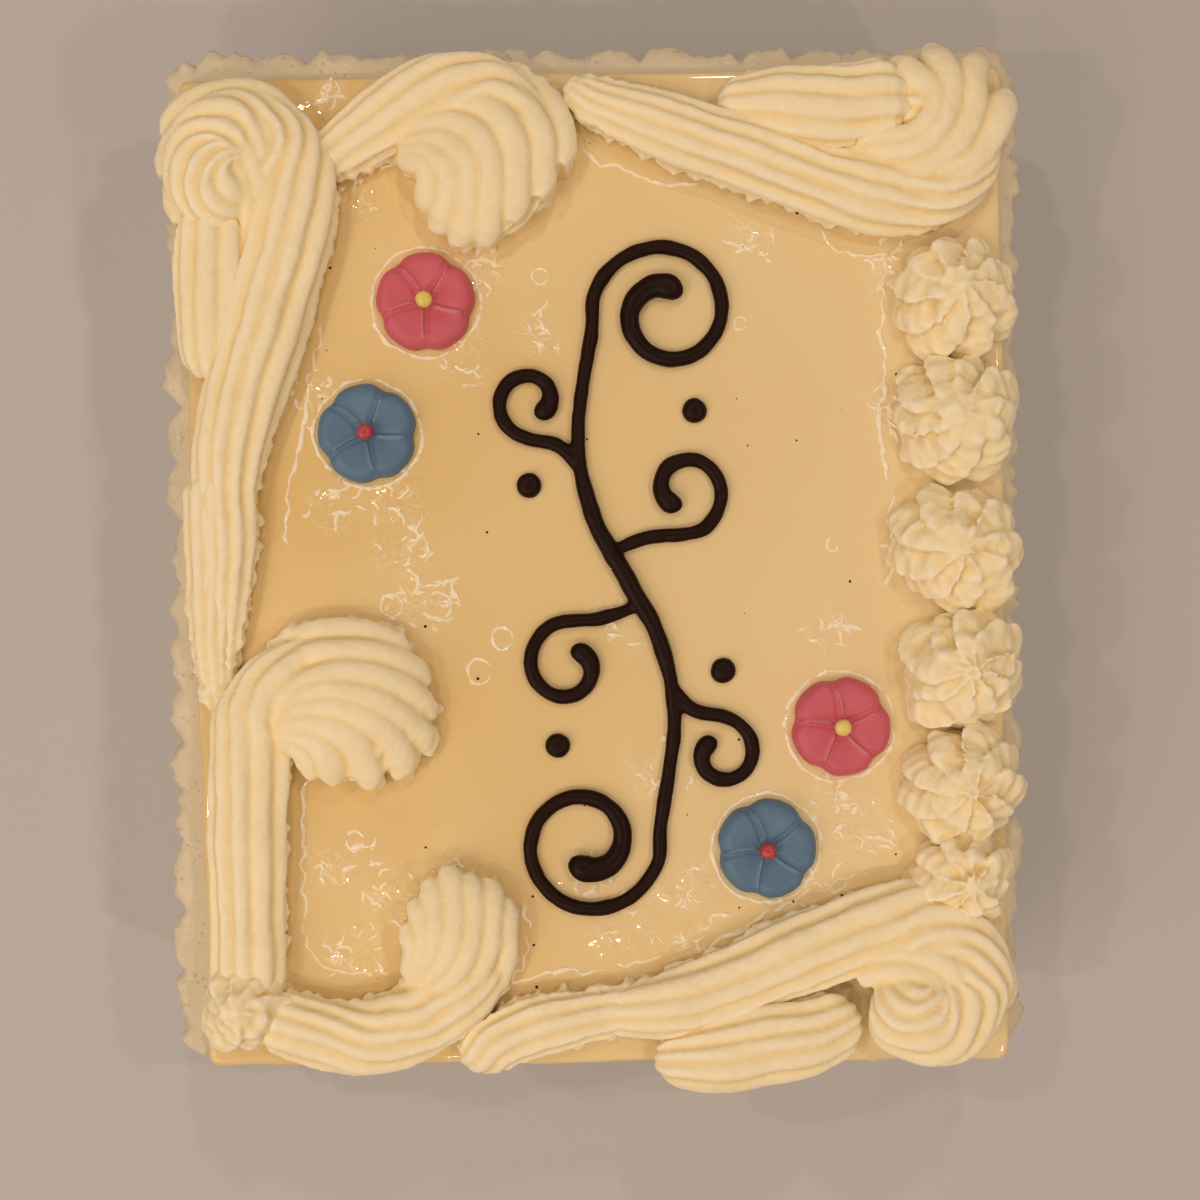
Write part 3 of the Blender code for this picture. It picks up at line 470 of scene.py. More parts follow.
# Where a stroke starts with a wide burst, its ridges fan out to the burst's edge. Each
# fan is the burst's (x, y, radius, height, ridge half width), and its ridges' paths
FANS = {
    "corner_scroll": ((-87.0, 98.0, 25.0, 13.4, 3.3), [
        [(-82.7, 80.0), (-84.4, 92.3), (-87.1, 97.7), (-91.8, 97.7), (-95.1, 91.6), (-96.0, 84.3)],
        [(-79.7, 78.0), (-81.0, 92.3), (-84.4, 100.4), (-89.8, 104.4), (-96.5, 101.7),
         (-100.8, 93.7), (-101.9, 84.3)],
        [(-74.3, 80.0), (-75.6, 97.0), (-79.7, 105.8), (-87.1, 111.1), (-95.1, 109.8),
         (-101.8, 104.4), (-105.2, 95.7)],
        [(-68.8, 84.0), (-69.2, 98.4), (-73.0, 109.1), (-81.0, 116.0), (-91.1, 116.8),
         (-99.8, 113.0), (-105.2, 105.8)]]),
    "side_hook": ((-61.0, -35.0, 24.0, 13.6, 3.7), [
        [(-83.0, -33.0), (-79.0, -21.5), (-71.0, -17.0), (-60.5, -16.0), (-53.0, -17.5), (-45.5, -22.0)],
        [(-81.0, -38.0), (-78.0, -28.5), (-70.5, -22.5), (-59.0, -21.0), (-48.5, -23.5), (-40.5, -29.5)],
        [(-77.5, -41.0), (-75.0, -33.0), (-67.5, -27.4), (-57.5, -26.2), (-47.0, -29.8), (-38.8, -37.2)],
        [(-77.2, -40.0), (-72.0, -33.0), (-64.0, -30.2), (-54.5, -32.0), (-46.0, -37.5), (-40.2, -45.0)],
        [(-77.0, -38.0), (-69.5, -34.5), (-60.5, -34.2), (-52.5, -38.0), (-48.0, -44.0), (-46.8, -51.5)],
        [(-78.0, -40.0), (-70.5, -37.5), (-63.0, -38.5), (-57.0, -43.5), (-54.5, -54.5)],
        [(-78.0, -41.5), (-71.5, -40.5), (-65.5, -43.5), (-62.4, -53.6)],
        [(-78.5, -43.0), (-73.0, -43.0), (-69.5, -46.0), (-68.0, -52.0)]]),
    "end_hook": ((-35.0, -90.0, 20.0, 12.6, 3.1), [
        [(-44.0, -112.5), (-35.0, -111.0), (-26.0, -105.5), (-22.0, -97.5), (-21.5, -89.5), (-21.5, -81.5)],
        [(-47.0, -109.0), (-38.0, -107.0), (-29.5, -101.5), (-26.0, -93.7), (-25.3, -85.0), (-25.5, -76.5)],
        [(-47.0, -106.0), (-39.8, -103.5), (-32.6, -97.2), (-29.6, -89.6), (-29.6, -82.6), (-30.6, -75.3)],
        [(-46.0, -104.0), (-41.0, -100.5), (-35.5, -94.3), (-33.4, -86.7), (-34.2, -79.7), (-35.6, -73.8)],
        [(-44.0, -101.8), (-39.3, -94.4), (-37.8, -85.8), (-39.4, -79.2), (-41.0, -76.8)],
        [(-44.0, -100.2), (-41.0, -93.4), (-41.2, -86.5), (-44.3, -81.0)],
        [(-44.3, -99.2), (-43.0, -92.4), (-46.0, -86.5)]]),
    "far_comma": ((-25.0, 100.0, 25.5, 13.8, 3.6), [
        [(-54.0, 116.0), (-40.0, 122.0), (-25.5, 123.6), (-14.5, 119.0), (-8.5, 109.0), (-7.5, 98.0)],
        [(-56.0, 111.0), (-42.0, 117.0), (-27.0, 118.6), (-18.3, 114.0), (-13.0, 104.0), (-13.0, 90.0)],
        [(-57.0, 106.0), (-43.0, 111.8), (-30.0, 113.0), (-22.3, 108.5), (-18.5, 99.0), (-19.5, 84.0)],
        [(-57.0, 101.0), (-43.0, 106.8), (-33.0, 107.5), (-26.8, 102.5), (-24.4, 94.0), (-26.5, 79.0)],
        [(-46.0, 103.5), (-36.0, 103.5), (-30.0, 97.5), (-30.2, 87.0), (-33.5, 79.5)],
        [(-46.0, 102.0), (-38.0, 100.5), (-34.2, 94.0), (-36.0, 87.0), (-39.0, 83.0)],
        [(-46.0, 101.0), (-40.0, 98.0), (-39.0, 92.5), (-42.0, 88.0)]]),
    "far_scroll": ((84.0, 107.5, 25.0, 13.4, 3.3), [
        [(66.0, 104.4), (72.6, 104.7), (77.9, 105.4), (82.0, 109.1), (82.6, 114.5), (78.5, 120.0),
         (73.5, 125.0)],
        [(61.0, 102.4), (72.6, 101.7), (80.6, 103.0), (85.3, 109.1), (86.7, 115.8), (85.3, 123.2),
         (83.3, 130.0)],
        [(56.0, 98.7), (67.8, 96.3), (79.3, 97.0), (88.0, 102.4), (92.0, 111.1), (92.8, 118.8),
         (95.0, 127.0)],
        [(59.0, 93.0), (72.6, 92.3), (84.6, 93.6), (94.1, 101.0), (98.8, 109.1), (102.5, 117.5)]]),
    "near_scroll": ((83.0, -100.0, 24.0, 13.0, 3.3), [
        [(56.0, -92.0), (66.0, -86.0), (80.0, -84.5), (92.5, -88.0), (100.0, -98.0), (102.5, -109.0)],
        [(58.0, -95.0), (68.0, -90.5), (80.0, -89.5), (89.5, -93.0), (95.5, -101.0), (97.5, -113.0)],
        [(62.0, -97.0), (70.0, -94.5), (79.0, -94.3), (86.5, -98.0), (91.0, -104.5), (92.0, -116.0)],
        [(66.0, -101.0), (72.0, -98.5), (79.0, -98.8), (84.5, -103.0), (86.5, -109.0), (86.0, -118.5)]]),
}


def start_tree(name, sizes):
    """A geometry tree with an input for each named size, and one for its material."""
    tree = bpy.data.node_groups.new(name, "GeometryNodeTree")
    tree.interface.new_socket("Geometry", in_out="INPUT", socket_type="NodeSocketGeometry")
    tree.interface.new_socket("Geometry", in_out="OUTPUT", socket_type="NodeSocketGeometry")
    for label, value in sizes.items():
        kind = "NodeSocketInt" if isinstance(value, int) else "NodeSocketFloat"
        tree.interface.new_socket(label, in_out="INPUT", socket_type=kind).default_value = value
    tree.interface.new_socket("Material", in_out="INPUT", socket_type="NodeSocketMaterial")
    return tree, add_node(tree, "NodeGroupInput").outputs


def end_tree(tree, shape, material):
    """Close a tree: real geometry with its material, given to the output."""
    real = add_node(tree, "GeometryNodeRealizeInstances", {"Geometry": shape})
    coated = add_node(tree, "GeometryNodeSetMaterial", {"Geometry": real, "Material": material})
    add_node(tree, "NodeGroupOutput", {"Geometry": coated})


def push_by_noise(tree, shape, size, depth, detail=1.0, seed=None, spot=None, part=1.0):
    """Push a skin in and out along its normals, by soft lumps of one size."""
    place = {"Vector": spot or add_node(tree, "GeometryNodeInputPosition")}
    if seed is not None:
        place["W"] = seed
    lumps = add_node(
        tree, "ShaderNodeTexNoise", {"Scale": 1 / size, "Detail": detail, **place},
        noise_dimensions="3D" if seed is None else "4D")
    centred = add_node(
        tree, "ShaderNodeMapRange",
        {"Value": lumps, "From Min": 0.25, "From Max": 0.75, "To Min": -part, "To Max": part})
    amount = add_node(tree, "ShaderNodeMath", {0: centred, 1: depth}, operation="MULTIPLY")
    normal = add_node(tree, "GeometryNodeInputNormal")
    push = add_node(tree, "ShaderNodeVectorMath", {0: normal, "Scale": amount}, operation="SCALE")
    return add_node(tree, "GeometryNodeSetPosition", {"Geometry": shape, "Offset": push})


def use_tree(piece, tree, values):
    """Put a tree on a piece, with its inputs set by their identifiers."""
    step = piece.modifiers.new(tree.name, "NODES")
    step.node_group = tree
    for socket in tree.interface.items_tree:
        if socket.in_out == "INPUT" and socket.name in values:
            step[socket.identifier] = values[socket.name]


def settle(piece, material):
    """Turn a piece and its steps into one plain mesh piece."""
    graph = bpy.context.evaluated_depsgraph_get()
    mesh = bpy.data.meshes.new_from_object(piece.evaluated_get(graph), depsgraph=graph)
    name = piece.name
    bpy.data.objects.remove(piece)
    mesh.name = name
    return link_piece(name, mesh, material)


def smooth_path(rows, step):
    """A Catmull-Rom curve through the rows, with a row every step along it."""
    rows = np.array(rows, float)
    ends = np.vstack([2 * rows[0] - rows[1], rows, 2 * rows[-1] - rows[-2]])
    dense = []
    for p0, p1, p2, p3 in zip(ends, ends[1:], ends[2:], ends[3:]):
        for t in np.linspace(0.0, 1.0, 24, endpoint=False):
            dense.append(0.5 * (2 * p1 + (p2 - p0) * t + (2 * p0 - 5 * p1 + 4 * p2 - p3) * t ** 2
                                + (3 * p1 - p0 - 3 * p2 + p3) * t ** 3))
    dense = np.array(dense + [rows[-1]])
    steps = np.linalg.norm(np.diff(dense[:, :2], axis=0), axis=1)
    travelled = np.concatenate([[0.0], np.cumsum(steps)])
    marks = np.linspace(0.0, travelled[-1], max(4, int(travelled[-1] / step) + 1))
    return np.column_stack([np.interp(marks, travelled, dense[:, k]) for k in range(4)])


def path_curve(name, lines, turning=False):
    """A poly curve along each line's rows of (x, y, z, half width). Where the nozzle
    doesn't turn, the curve is tilted against its heading."""
    curve = bpy.data.curves.new(name, "CURVE")
    curve.dimensions = "3D"
    for rows in lines:
        spline = curve.splines.new("POLY")
        spline.points.add(len(rows) - 1)
        headings = np.unwrap(np.arctan2(np.gradient(rows[:, 1]), np.gradient(rows[:, 0])))
        for point, row, heading in zip(spline.points, rows, headings):
            point.co = (*(row[:3] * MM), 1.0)
            point.radius = row[3]
            point.tilt = -heading if turning else 0.0
    piece = bpy.data.objects.new(name, curve)
    bpy.context.scene.collection.objects.link(piece)
    return piece


def end_gap(rows, step):
    """How far each row lies along its path from the nearer end."""
    marks = np.arange(len(rows))
    return np.minimum(marks, marks[::-1]) * step


def nozzle_star(tree, given, spot):
    """The nozzle's star: round ridges, with sharp grooves where the cosine meets zero."""
    corners = add_node(tree, "ShaderNodeMath", {0: given["Ridges"], 1: 8.0}, operation="MULTIPLY")
    ring = add_node(tree, "GeometryNodeCurvePrimitiveCircle", {"Resolution": corners, "Radius": MM})
    share = add_node(tree, "GeometryNodeSplineParameter")
    turns = add_node(tree, "ShaderNodeMath", {0: given["Ridges"], 1: math.pi}, operation="MULTIPLY")
    swing = add_node(
        tree, "ShaderNodeMath", {0: share, 1: 4.0 * math.pi, 2: given["Seed"]}, operation="MULTIPLY_ADD")
    sway = add_node(tree, "ShaderNodeMath", {0: swing}, operation="SINE")
    uneven = add_node(tree, "ShaderNodeMath", {0: sway, 1: given["Unevenness"]}, operation="MULTIPLY")
    angle = add_node(tree, "ShaderNodeMath", {0: share, 1: turns, 2: uneven}, operation="MULTIPLY_ADD")
    wave = add_node(tree, "ShaderNodeMath", {0: angle}, operation="COSINE")
    ridge = add_node(tree, "ShaderNodeMath", {0: wave}, operation="ABSOLUTE")
    round_ridge = add_node(tree, "ShaderNodeMath", {0: ridge, 1: 0.7}, operation="POWER")
    floor = add_node(tree, "ShaderNodeMath", {0: 1.0, 1: given["Groove Depth"]}, operation="SUBTRACT")
    reach = add_node(
        tree, "ShaderNodeMath", {0: round_ridge, 1: given["Groove Depth"], 2: floor},
        operation="MULTIPLY_ADD")
    pulled = add_node(tree, "ShaderNodeVectorMath", {0: spot, "Scale": reach}, operation="SCALE")
    return add_node(tree, "GeometryNodeSetPosition", {"Geometry": ring, "Position": pulled})


def press_flat(tree, given, rope, place):
    """Press a rope flat. Where it is lifted, its lower half still reaches the gel."""
    middle = add_node(tree, "GeometryNodeInputNamedAttribute", {"Name": "middle"}, data_type="FLOAT")
    width = add_node(tree, "GeometryNodeInputNamedAttribute", {"Name": "half"}, data_type="FLOAT")
    rise = add_node(tree, "ShaderNodeMath", {0: place["Z"], 1: middle}, operation="SUBTRACT")
    under = add_node(tree, "ShaderNodeMath", {0: rise, 1: 0.0}, operation="LESS_THAN")
    lifted = add_node(tree, "ShaderNodeMath", {0: middle, 1: given["Foot"]}, operation="SUBTRACT")
    flat = add_node(tree, "ShaderNodeMath", {0: width, 1: given["Flatness"]}, operation="MULTIPLY")
    sunk = add_node(tree, "ShaderNodeMath", {0: flat, 1: given["Sink"]}, operation="MULTIPLY")
    need = add_node(tree, "ShaderNodeMath", {0: lifted, 1: sunk}, operation="DIVIDE")
    more = add_node(tree, "ShaderNodeMath", {0: need, 1: 1.0}, operation="MAXIMUM")
    extra = add_node(tree, "ShaderNodeMath", {0: more, 1: 1.0}, operation="SUBTRACT")
    stretch = add_node(tree, "ShaderNodeMath", {0: extra, 1: under, 2: 1.0}, operation="MULTIPLY_ADD")
    pressed = add_node(tree, "ShaderNodeMath", {0: rise, 1: given["Flatness"]}, operation="MULTIPLY")
    height = add_node(
        tree, "ShaderNodeMath", {0: pressed, 1: stretch, 2: middle}, operation="MULTIPLY_ADD")
    laid = add_node(tree, "ShaderNodeCombineXYZ", {"X": place["X"], "Y": place["Y"], "Z": height})
    return add_node(tree, "GeometryNodeSetPosition", {"Geometry": rope, "Position": laid})


def rope_tree():
    """Sweep a star along a path, press it flat on the gel, and tear its edges."""
    tree, given = start_tree("piped_rope", {
        "Ridges": RIDGES, "Groove Depth": GROOVE_DEPTH, "Flatness": ROPE_FLATTEN, "Sink": ROPE_SINK,
        "Foot": FOOT * MM, "Tear": 0.0028, "Ripple": 0.00018, "Sag": 0.0005, "Unevenness": 0.5,
        "Seed": 0.0})
    spot = add_node(tree, "GeometryNodeInputPosition")
    place = add_node(tree, "ShaderNodeSeparateXYZ", {0: spot}).outputs
    radius = add_node(tree, "GeometryNodeInputRadius")
    half = add_node(tree, "ShaderNodeMath", {0: radius, 1: MM}, operation="MULTIPLY")
    path = given["Geometry"]
    for label, value in (("middle", place["Z"]), ("half", half)):
        path = add_node(
            tree, "GeometryNodeStoreNamedAttribute", {"Geometry": path, "Name": label, "Value": value},
            data_type="FLOAT", domain="POINT")
    path = add_node(tree, "GeometryNodeSetCurveNormal", {"Curve": path}, mode="Z_UP")
    star = nozzle_star(tree, given, spot)
    rope = add_node(
        tree, "GeometryNodeCurveToMesh",
        {"Curve": path, "Profile Curve": star, "Scale": radius, "Fill Caps": True})
    shape = press_flat(tree, given, rope, place)

    # Ripple the ridges, and tear the lower edges, which dragged on the gel
    above = add_node(tree, "ShaderNodeMath", {0: place["Z"], 1: given["Foot"]}, operation="SUBTRACT")
    low = add_node(
        tree, "ShaderNodeMapRange",
        {"Value": above, "From Min": 0.001, "From Max": 0.0055, "To Min": 1.0, "To Max": 0.0})
    torn = add_node(tree, "ShaderNodeMath", {0: low, 1: given["Tear"]}, operation="MULTIPLY")
    for size, depth, detail in ((RIPPLE_SIZE, given["Ripple"], 3.0), (TEAR_SIZE, torn, 2.0),
                                (SAG_SIZE, given["Sag"], 0.0)):
        shape = push_by_noise(tree, shape, size, depth, detail, given["Seed"])
    welded = add_node(tree, "GeometryNodeMergeByDistance", {"Geometry": shape, "Distance": 1e-6})
    end_tree(tree, welded, given["Material"])
    return tree


def groove_tree():
    """Mark how deep each point lies in a groove, from how far its surroundings stand
    above it: 0 on a sharp crest, 0.5 where it is flat and 1 in a deep groove."""
    tree, given = start_tree("groove_marks", {"Depth": 0.0003})
    spot = add_node(tree, "GeometryNodeInputPosition")
    normal = add_node(tree, "GeometryNodeInputNormal")
    around = add_node(
        tree, "GeometryNodeBlurAttribute", {"Value": spot, "Iterations": 7}, data_type="FLOAT_VECTOR")
    step = add_node(tree, "ShaderNodeVectorMath", {0: around, 1: spot}, operation="SUBTRACT")
    out = add_node(tree, "ShaderNodeVectorMath", {0: step, 1: normal}, operation="DOT_PRODUCT")
    share = add_node(tree, "ShaderNodeMath", {0: out, 1: given["Depth"]}, operation="DIVIDE")
    share = add_node(
        tree, "ShaderNodeMath", {0: share, 1: 0.5, 2: 0.5}, operation="MULTIPLY_ADD", use_clamp=True)
    marked = add_node(
        tree, "GeometryNodeStoreNamedAttribute",
        {"Geometry": given["Geometry"], "Name": "groove", "Value": share}, data_type="FLOAT",
        domain="POINT")
    end_tree(tree, marked, given["Material"])
    return tree


def fuse(piece, grain, rounds):
    """Melt a piece's crossings into one skin, and smooth the skin a little."""
    melt = piece.modifiers.new("melt", "REMESH")
    melt.mode = "VOXEL"
    melt.voxel_size = grain * MM
    calm = piece.modifiers.new("calm", "SMOOTH")
    calm.factor = 0.5
    calm.iterations = rounds


def rest_on_gel(mesh):
    """Flatten a topping's foot on the gel, and let what hangs past the edge sag."""
    points = np.empty(len(mesh.vertices) * 3, np.float32)
    mesh.vertices.foreach_get("co", points)
    points = points.reshape(-1, 3) / MM
    (near_x, near_y), (far_x, far_y) = GEL_CORNERS[0], GEL_CORNERS[3]
    left = near_x + (far_x - near_x) * (points[:, 1] - near_y) / (far_y - near_y)
    past = np.maximum.reduce([left - points[:, 0], points[:, 0] - HANG_RIGHT,
                              points[:, 1] - HANG_FAR, HANG_NEAR - points[:, 1]])
    low = np.clip(1.0 - (points[:, 2] - FOOT) / SAG_HEIGHT, 0.0, 1.0)
    points[:, 2] = np.maximum(points[:, 2], FOOT - BED)
    points[:, 2] -= np.minimum(np.clip(past, 0.0, None) ** 2 * SAG_RATE, SAG_MOST) * low
    mesh.vertices.foreach_set("co", (points * MM).ravel())
    mesh.update()


def cream_material():
    """Fresh whipped dairy cream, piped: soft satin ivory, with a painted highlight that
    whitens the crests, painted shade that yellows the grooves, and a very fine grain of air."""
    material, tree, shader, place = start_material("fresh_whipped_cream")
    mottle = add_node(tree, "ShaderNodeTexNoise", {"Vector": place, "Scale": 1 / 0.011, "Detail": 1.0})
    ridge = add_node(
        tree, "ShaderNodeMix", {0: mottle, 6: linear("#F5E4B0"), 7: linear("#FBEEC3")}, data_type="RGBA")
    groove = add_node(tree, "ShaderNodeAttribute", attribute_name="groove").outputs["Fac"]
    # Painted highlight: crests are mixed towards a paler white. Painted shade: grooves are mixed towards a
    # deeper yellow.
    crest = add_node(tree, "ShaderNodeMapRange", {"Value": groove, "From Min": 0.5, "From Max": 0.15})
    groove_painted_shade = add_node(tree, "ShaderNodeMapRange", {"Value": groove, "From Min": 0.5, "From Max": 0.95})
    crest_painted_highlight = add_node(tree, "ShaderNodeMix", {0: crest, 6: ridge, 7: linear("#FDF5D8")}, data_type="RGBA")
    tint = add_node(tree, "ShaderNodeMix", {0: groove_painted_shade, 6: crest_painted_highlight, 7: linear("#F2D796")}, data_type="RGBA")
    grain = add_node(tree, "ShaderNodeTexNoise", {"Vector": place, "Scale": 1 / 0.0012, "Detail": 1.0})
    relief = add_node(tree, "ShaderNodeBump", {"Height": grain, "Strength": 0.5, "Distance": 0.0003})
    fill_inputs(tree, shader, {"Base Color": tint, "Normal": relief, "Roughness": 0.45, "IOR": 1.4})
    return material


def fan_rows(path, burst):
    """One ridge of a fan: it swells as it runs out, and domes over the burst."""
    x, y, radius, height, half = burst
    rows = smooth_path([(*spot, 0.0, half) for spot in path], ROPE_STEP)
    gone = np.arange(len(rows)) * ROPE_STEP
    left = gone[-1] - gone
    rows[:, 3] *= FAN_START + FAN_SWELL * gone / gone[-1]
    rows[:, 3] *= np.clip((left + 0.5) / (FAN_TIP * half), 0.0, 1.0) ** 0.5
    away = np.hypot(rows[:, 0] - x, rows[:, 1] - y) / radius
    top = height * np.clip(1.0 - away ** 2, 0.0, 1.0) ** FAN_DOME
    rows[:, 2] = FOOT + np.maximum(top - rows[:, 3] * ROPE_FLATTEN, rows[:, 3] * ROPE_FLATTEN * ROPE_SINK)
    return rows


def joined(name, pieces, material):
    """Several mesh pieces put together into one."""
    form = bmesh.new()
    for piece in pieces:
        form.from_mesh(piece.data)
        bpy.data.objects.remove(piece)
    mesh = bpy.data.meshes.new(name)
    form.to_mesh(mesh)
    form.free()
    return link_piece(name, mesh, material)


def finish_cream(piece, node):
    """Melt a piece of piped cream into one skin, mark its grooves and rest it on the gel."""
    fuse(piece, CREAM_GRAIN, 1)
    use_tree(piece, groove_marks, {"Material": fresh_cream})
    piece = settle(piece, fresh_cream)
    rest_on_gel(piece.data)
    stand_for(piece, node)


fresh_cream = cream_material()
piped_rope = rope_tree()
groove_marks = groove_tree()
for number, (stroke, (rounding, rows)) in enumerate(STROKES.items()):
    rows = smooth_path(rows, ROPE_STEP)
    travelled = np.arange(len(rows)) * ROPE_STEP
    opening = np.clip((travelled + 0.3) / rounding, 0.0, 1.0)
    closing = np.clip((travelled[-1] - travelled + 0.6) / ROPE_END, 0.0, 1.0)
    rows[:, 3] *= np.sqrt((1.0 - (1.0 - opening) ** 2) * (1.0 - (1.0 - closing) ** 2))
    rows[:, 2] += LIFT_FROM + rows[:, 3] * ROPE_FLATTEN * ROPE_SINK
    rope = path_curve("stroke", [rows], True)
    use_tree(rope, piped_rope, {"Seed": number * 3.7, "Material": fresh_cream})
    parts = [settle(rope, fresh_cream)]
    burst, paths = FANS.get(stroke, (None, []))
    for path in paths:
        ridge = path_curve("fan_ridge", [fan_rows(path, burst)])
        use_tree(ridge, piped_rope, {"Ridges": 3, "Groove Depth": 0.0, "Seed": number + 0.5,
                                     "Material": fresh_cream})
        parts.append(settle(ridge, fresh_cream))
    finish_cream(joined(f"piped_{stroke}", parts, fresh_cream), f"cream_{stroke}")


# The rosettes. The same bag, held still and pressed once: the cream comes out as a low
# star of leaning lobes, crumpled into ledges as it piles up, and is drawn to a peak.
# Each rosette's (x, y, radius), from the far end to the near one, and the corner's last
ROSETTES = [(89.0, 68.0, 16.4), (89.5, 37.5, 17.2), (90.0, 4.5, 16.8), (91.5, -25.3, 16.6),
            (92.0, -54.0, 16.6), (91.5, -77.0, 14.2), (-85.5, -107.5, 13.4)]
ROSETTE_HEIGHT = 14.0
ROSETTE_LOBES = 9
ROSETTE_RINGS = 41
# The lobes' lengths, and where the star starts and how far it twists, in degrees
LOBE_LENGTHS = (0.92, 1.06)
STAR_STARTS, STAR_TWISTS, TWIST_GAIN = (0.0, 40.0), (14.0, 30.0), 2.4
ROSETTE_SIDES = [(0.0, 0.96), (0.12, 1.03), (0.35, 0.98), (0.6, 0.82), (0.8, 0.58), (0.93, 0.32),
                 (1.0, 0.04)]


def rosette_tree():
    """Sweep a deep star up a turning path, and crumple it into ledges."""
    tree, given = start_tree("piped_rosette", {
        "Lobes": ROSETTE_LOBES, "Groove Depth": 0.31, "Unevenness": 0.2, "Crumple": 0.0014,
        "Lean": 0.34, "Seed": 1})
    spot = add_node(tree, "GeometryNodeInputPosition")
    radius = add_node(tree, "GeometryNodeInputRadius")
    corners = add_node(tree, "ShaderNodeMath", {0: given["Lobes"], 1: 12.0}, operation="MULTIPLY")
    ring = add_node(tree, "GeometryNodeCurvePrimitiveCircle", {"Resolution": corners, "Radius": MM})
    share = add_node(tree, "GeometryNodeSplineParameter")
    turns = add_node(tree, "ShaderNodeMath", {0: given["Lobes"], 1: math.pi}, operation="MULTIPLY")
    angle = add_node(tree, "ShaderNodeMath", {0: share, 1: turns}, operation="MULTIPLY")
    wave = add_node(tree, "ShaderNodeMath", {0: angle}, operation="COSINE")
    ridge = add_node(tree, "ShaderNodeMath", {0: wave}, operation="ABSOLUTE")
    # Each lobe comes out a little longer or shorter than the next
    along = add_node(
        tree, "ShaderNodeMath", {0: share, 1: given["Lobes"], 2: 0.5}, operation="MULTIPLY_ADD")
    which = add_node(tree, "ShaderNodeMath", {0: along, 1: given["Lobes"]}, operation="MODULO")
    lobe = add_node(tree, "ShaderNodeMath", {0: which}, operation="FLOOR")
    lower = add_node(tree, "ShaderNodeMath", {0: 1.03, 1: given["Unevenness"]}, operation="SUBTRACT")
    length = add_node(
        tree, "FunctionNodeRandomValue", {"Min": lower, "Max": 1.05, "ID": lobe, "Seed": given["Seed"]},
        data_type="FLOAT")
    floor = add_node(tree, "ShaderNodeMath", {0: 1.0, 1: given["Groove Depth"]}, operation="SUBTRACT")
    reach = add_node(
        tree, "ShaderNodeMath", {0: ridge, 1: given["Groove Depth"], 2: floor}, operation="MULTIPLY_ADD")
    uneven = add_node(tree, "ShaderNodeMath", {0: reach, 1: length}, operation="MULTIPLY")
    pulled = add_node(tree, "ShaderNodeVectorMath", {0: spot, "Scale": uneven}, operation="SCALE")
    swung = add_node(tree, "ShaderNodeMath", {0: ridge, 1: given["Lean"]}, operation="MULTIPLY")
    leaning = add_node(
        tree, "ShaderNodeVectorRotate", {"Vector": pulled, "Angle": swung}, rotation_type="Z_AXIS")
    star = add_node(tree, "GeometryNodeSetPosition", {"Geometry": ring, "Position": leaning})
    shape = add_node(
        tree, "GeometryNodeCurveToMesh",
        {"Curve": given["Geometry"], "Profile Curve": star, "Scale": radius, "Fill Caps": True})

    # Ledges run round the lobes, so the crumpling is squeezed upright
    squeezed = add_node(tree, "ShaderNodeVectorMath", {0: spot, 1: (0.7, 0.7, 1.7)}, operation="MULTIPLY")
    for size, part in ((0.0066, 1.0), (0.0024, 0.3)):
        shape = push_by_noise(tree, shape, size, given["Crumple"], 1.0, given["Seed"],
                              squeezed, part)
    welded = add_node(tree, "GeometryNodeMergeByDistance", {"Geometry": shape, "Distance": 1e-6})
    end_tree(tree, welded, given["Material"])
    return tree


piped_rosette = rosette_tree()
for number, (x, y, radius) in enumerate(ROSETTES, 1):
    twist = draw.uniform(*STAR_TWISTS)
    start = draw.uniform(*STAR_STARTS)
    longest = max(draw.uniform(*LOBE_LENGTHS) for _ in range(ROSETTE_LOBES))
    rises = np.linspace(0.0, 1.0, ROSETTE_RINGS)
    half = radius * np.interp(rises, *np.transpose(ROSETTE_SIDES)) * longest / LOBE_LENGTHS[1]
    rows = np.column_stack([np.full(ROSETTE_RINGS, x), np.full(ROSETTE_RINGS, y),
                            FOOT - 0.2 + ROSETTE_HEIGHT * rises, half])
    name = "rosette_corner" if number == len(ROSETTES) else f"rosette_{number}"
    star = path_curve(f"piped_{name}", [rows])
    for point, rise in zip(star.data.splines[0].points, rises):
        point.tilt = math.radians(start + twist * rise * TWIST_GAIN)
    use_tree(star, piped_rosette, {"Seed": number, "Material": fresh_cream})
    finish_cream(star, f"cream_{name}")


# The sugar flowers. Tinted sugar paste pressed in a mould: five round petals laid over
# each other like a pinwheel, with a fine raised vein along each overlap, and a well in
# the middle. Dry and matt and a little powdery; the raised veins are paler with a
# painted highlight.
# Each flower's (x, y, the angle of one joint between petals, colour)
FLOWERS = [(-41.5, 66.2, 128.0, "pink"), (-56.0, 33.5, 140.0, "blue"),
           (62.0, -39.5, 100.0, "pink"), (43.5, -70.0, 112.0, "blue")]
FLOWER_RADIUS = 12.4
FLOWER_SIDES = [(0.0, 2.5), (0.16, 2.6), (0.32, 3.1), (0.52, 3.8), (0.74, 4.3), (0.86, 3.9),
                (0.94, 3.2), (0.98, 2.3), (1.0, 1.0)]
PETAL_TWIST = 16.0
VEIN_HALF, VEIN_RISE = 0.38, 0.4
DITCH_HALF, DITCH_DROP, DITCH_AWAY = 0.8, 0.7, 1.1
PETAL_LEAN = 1.1
PASTE_COLOURS = {"pink": ("#CC5566", "#E2939C"), "blue": ("#4E7392", "#86A3BA")}


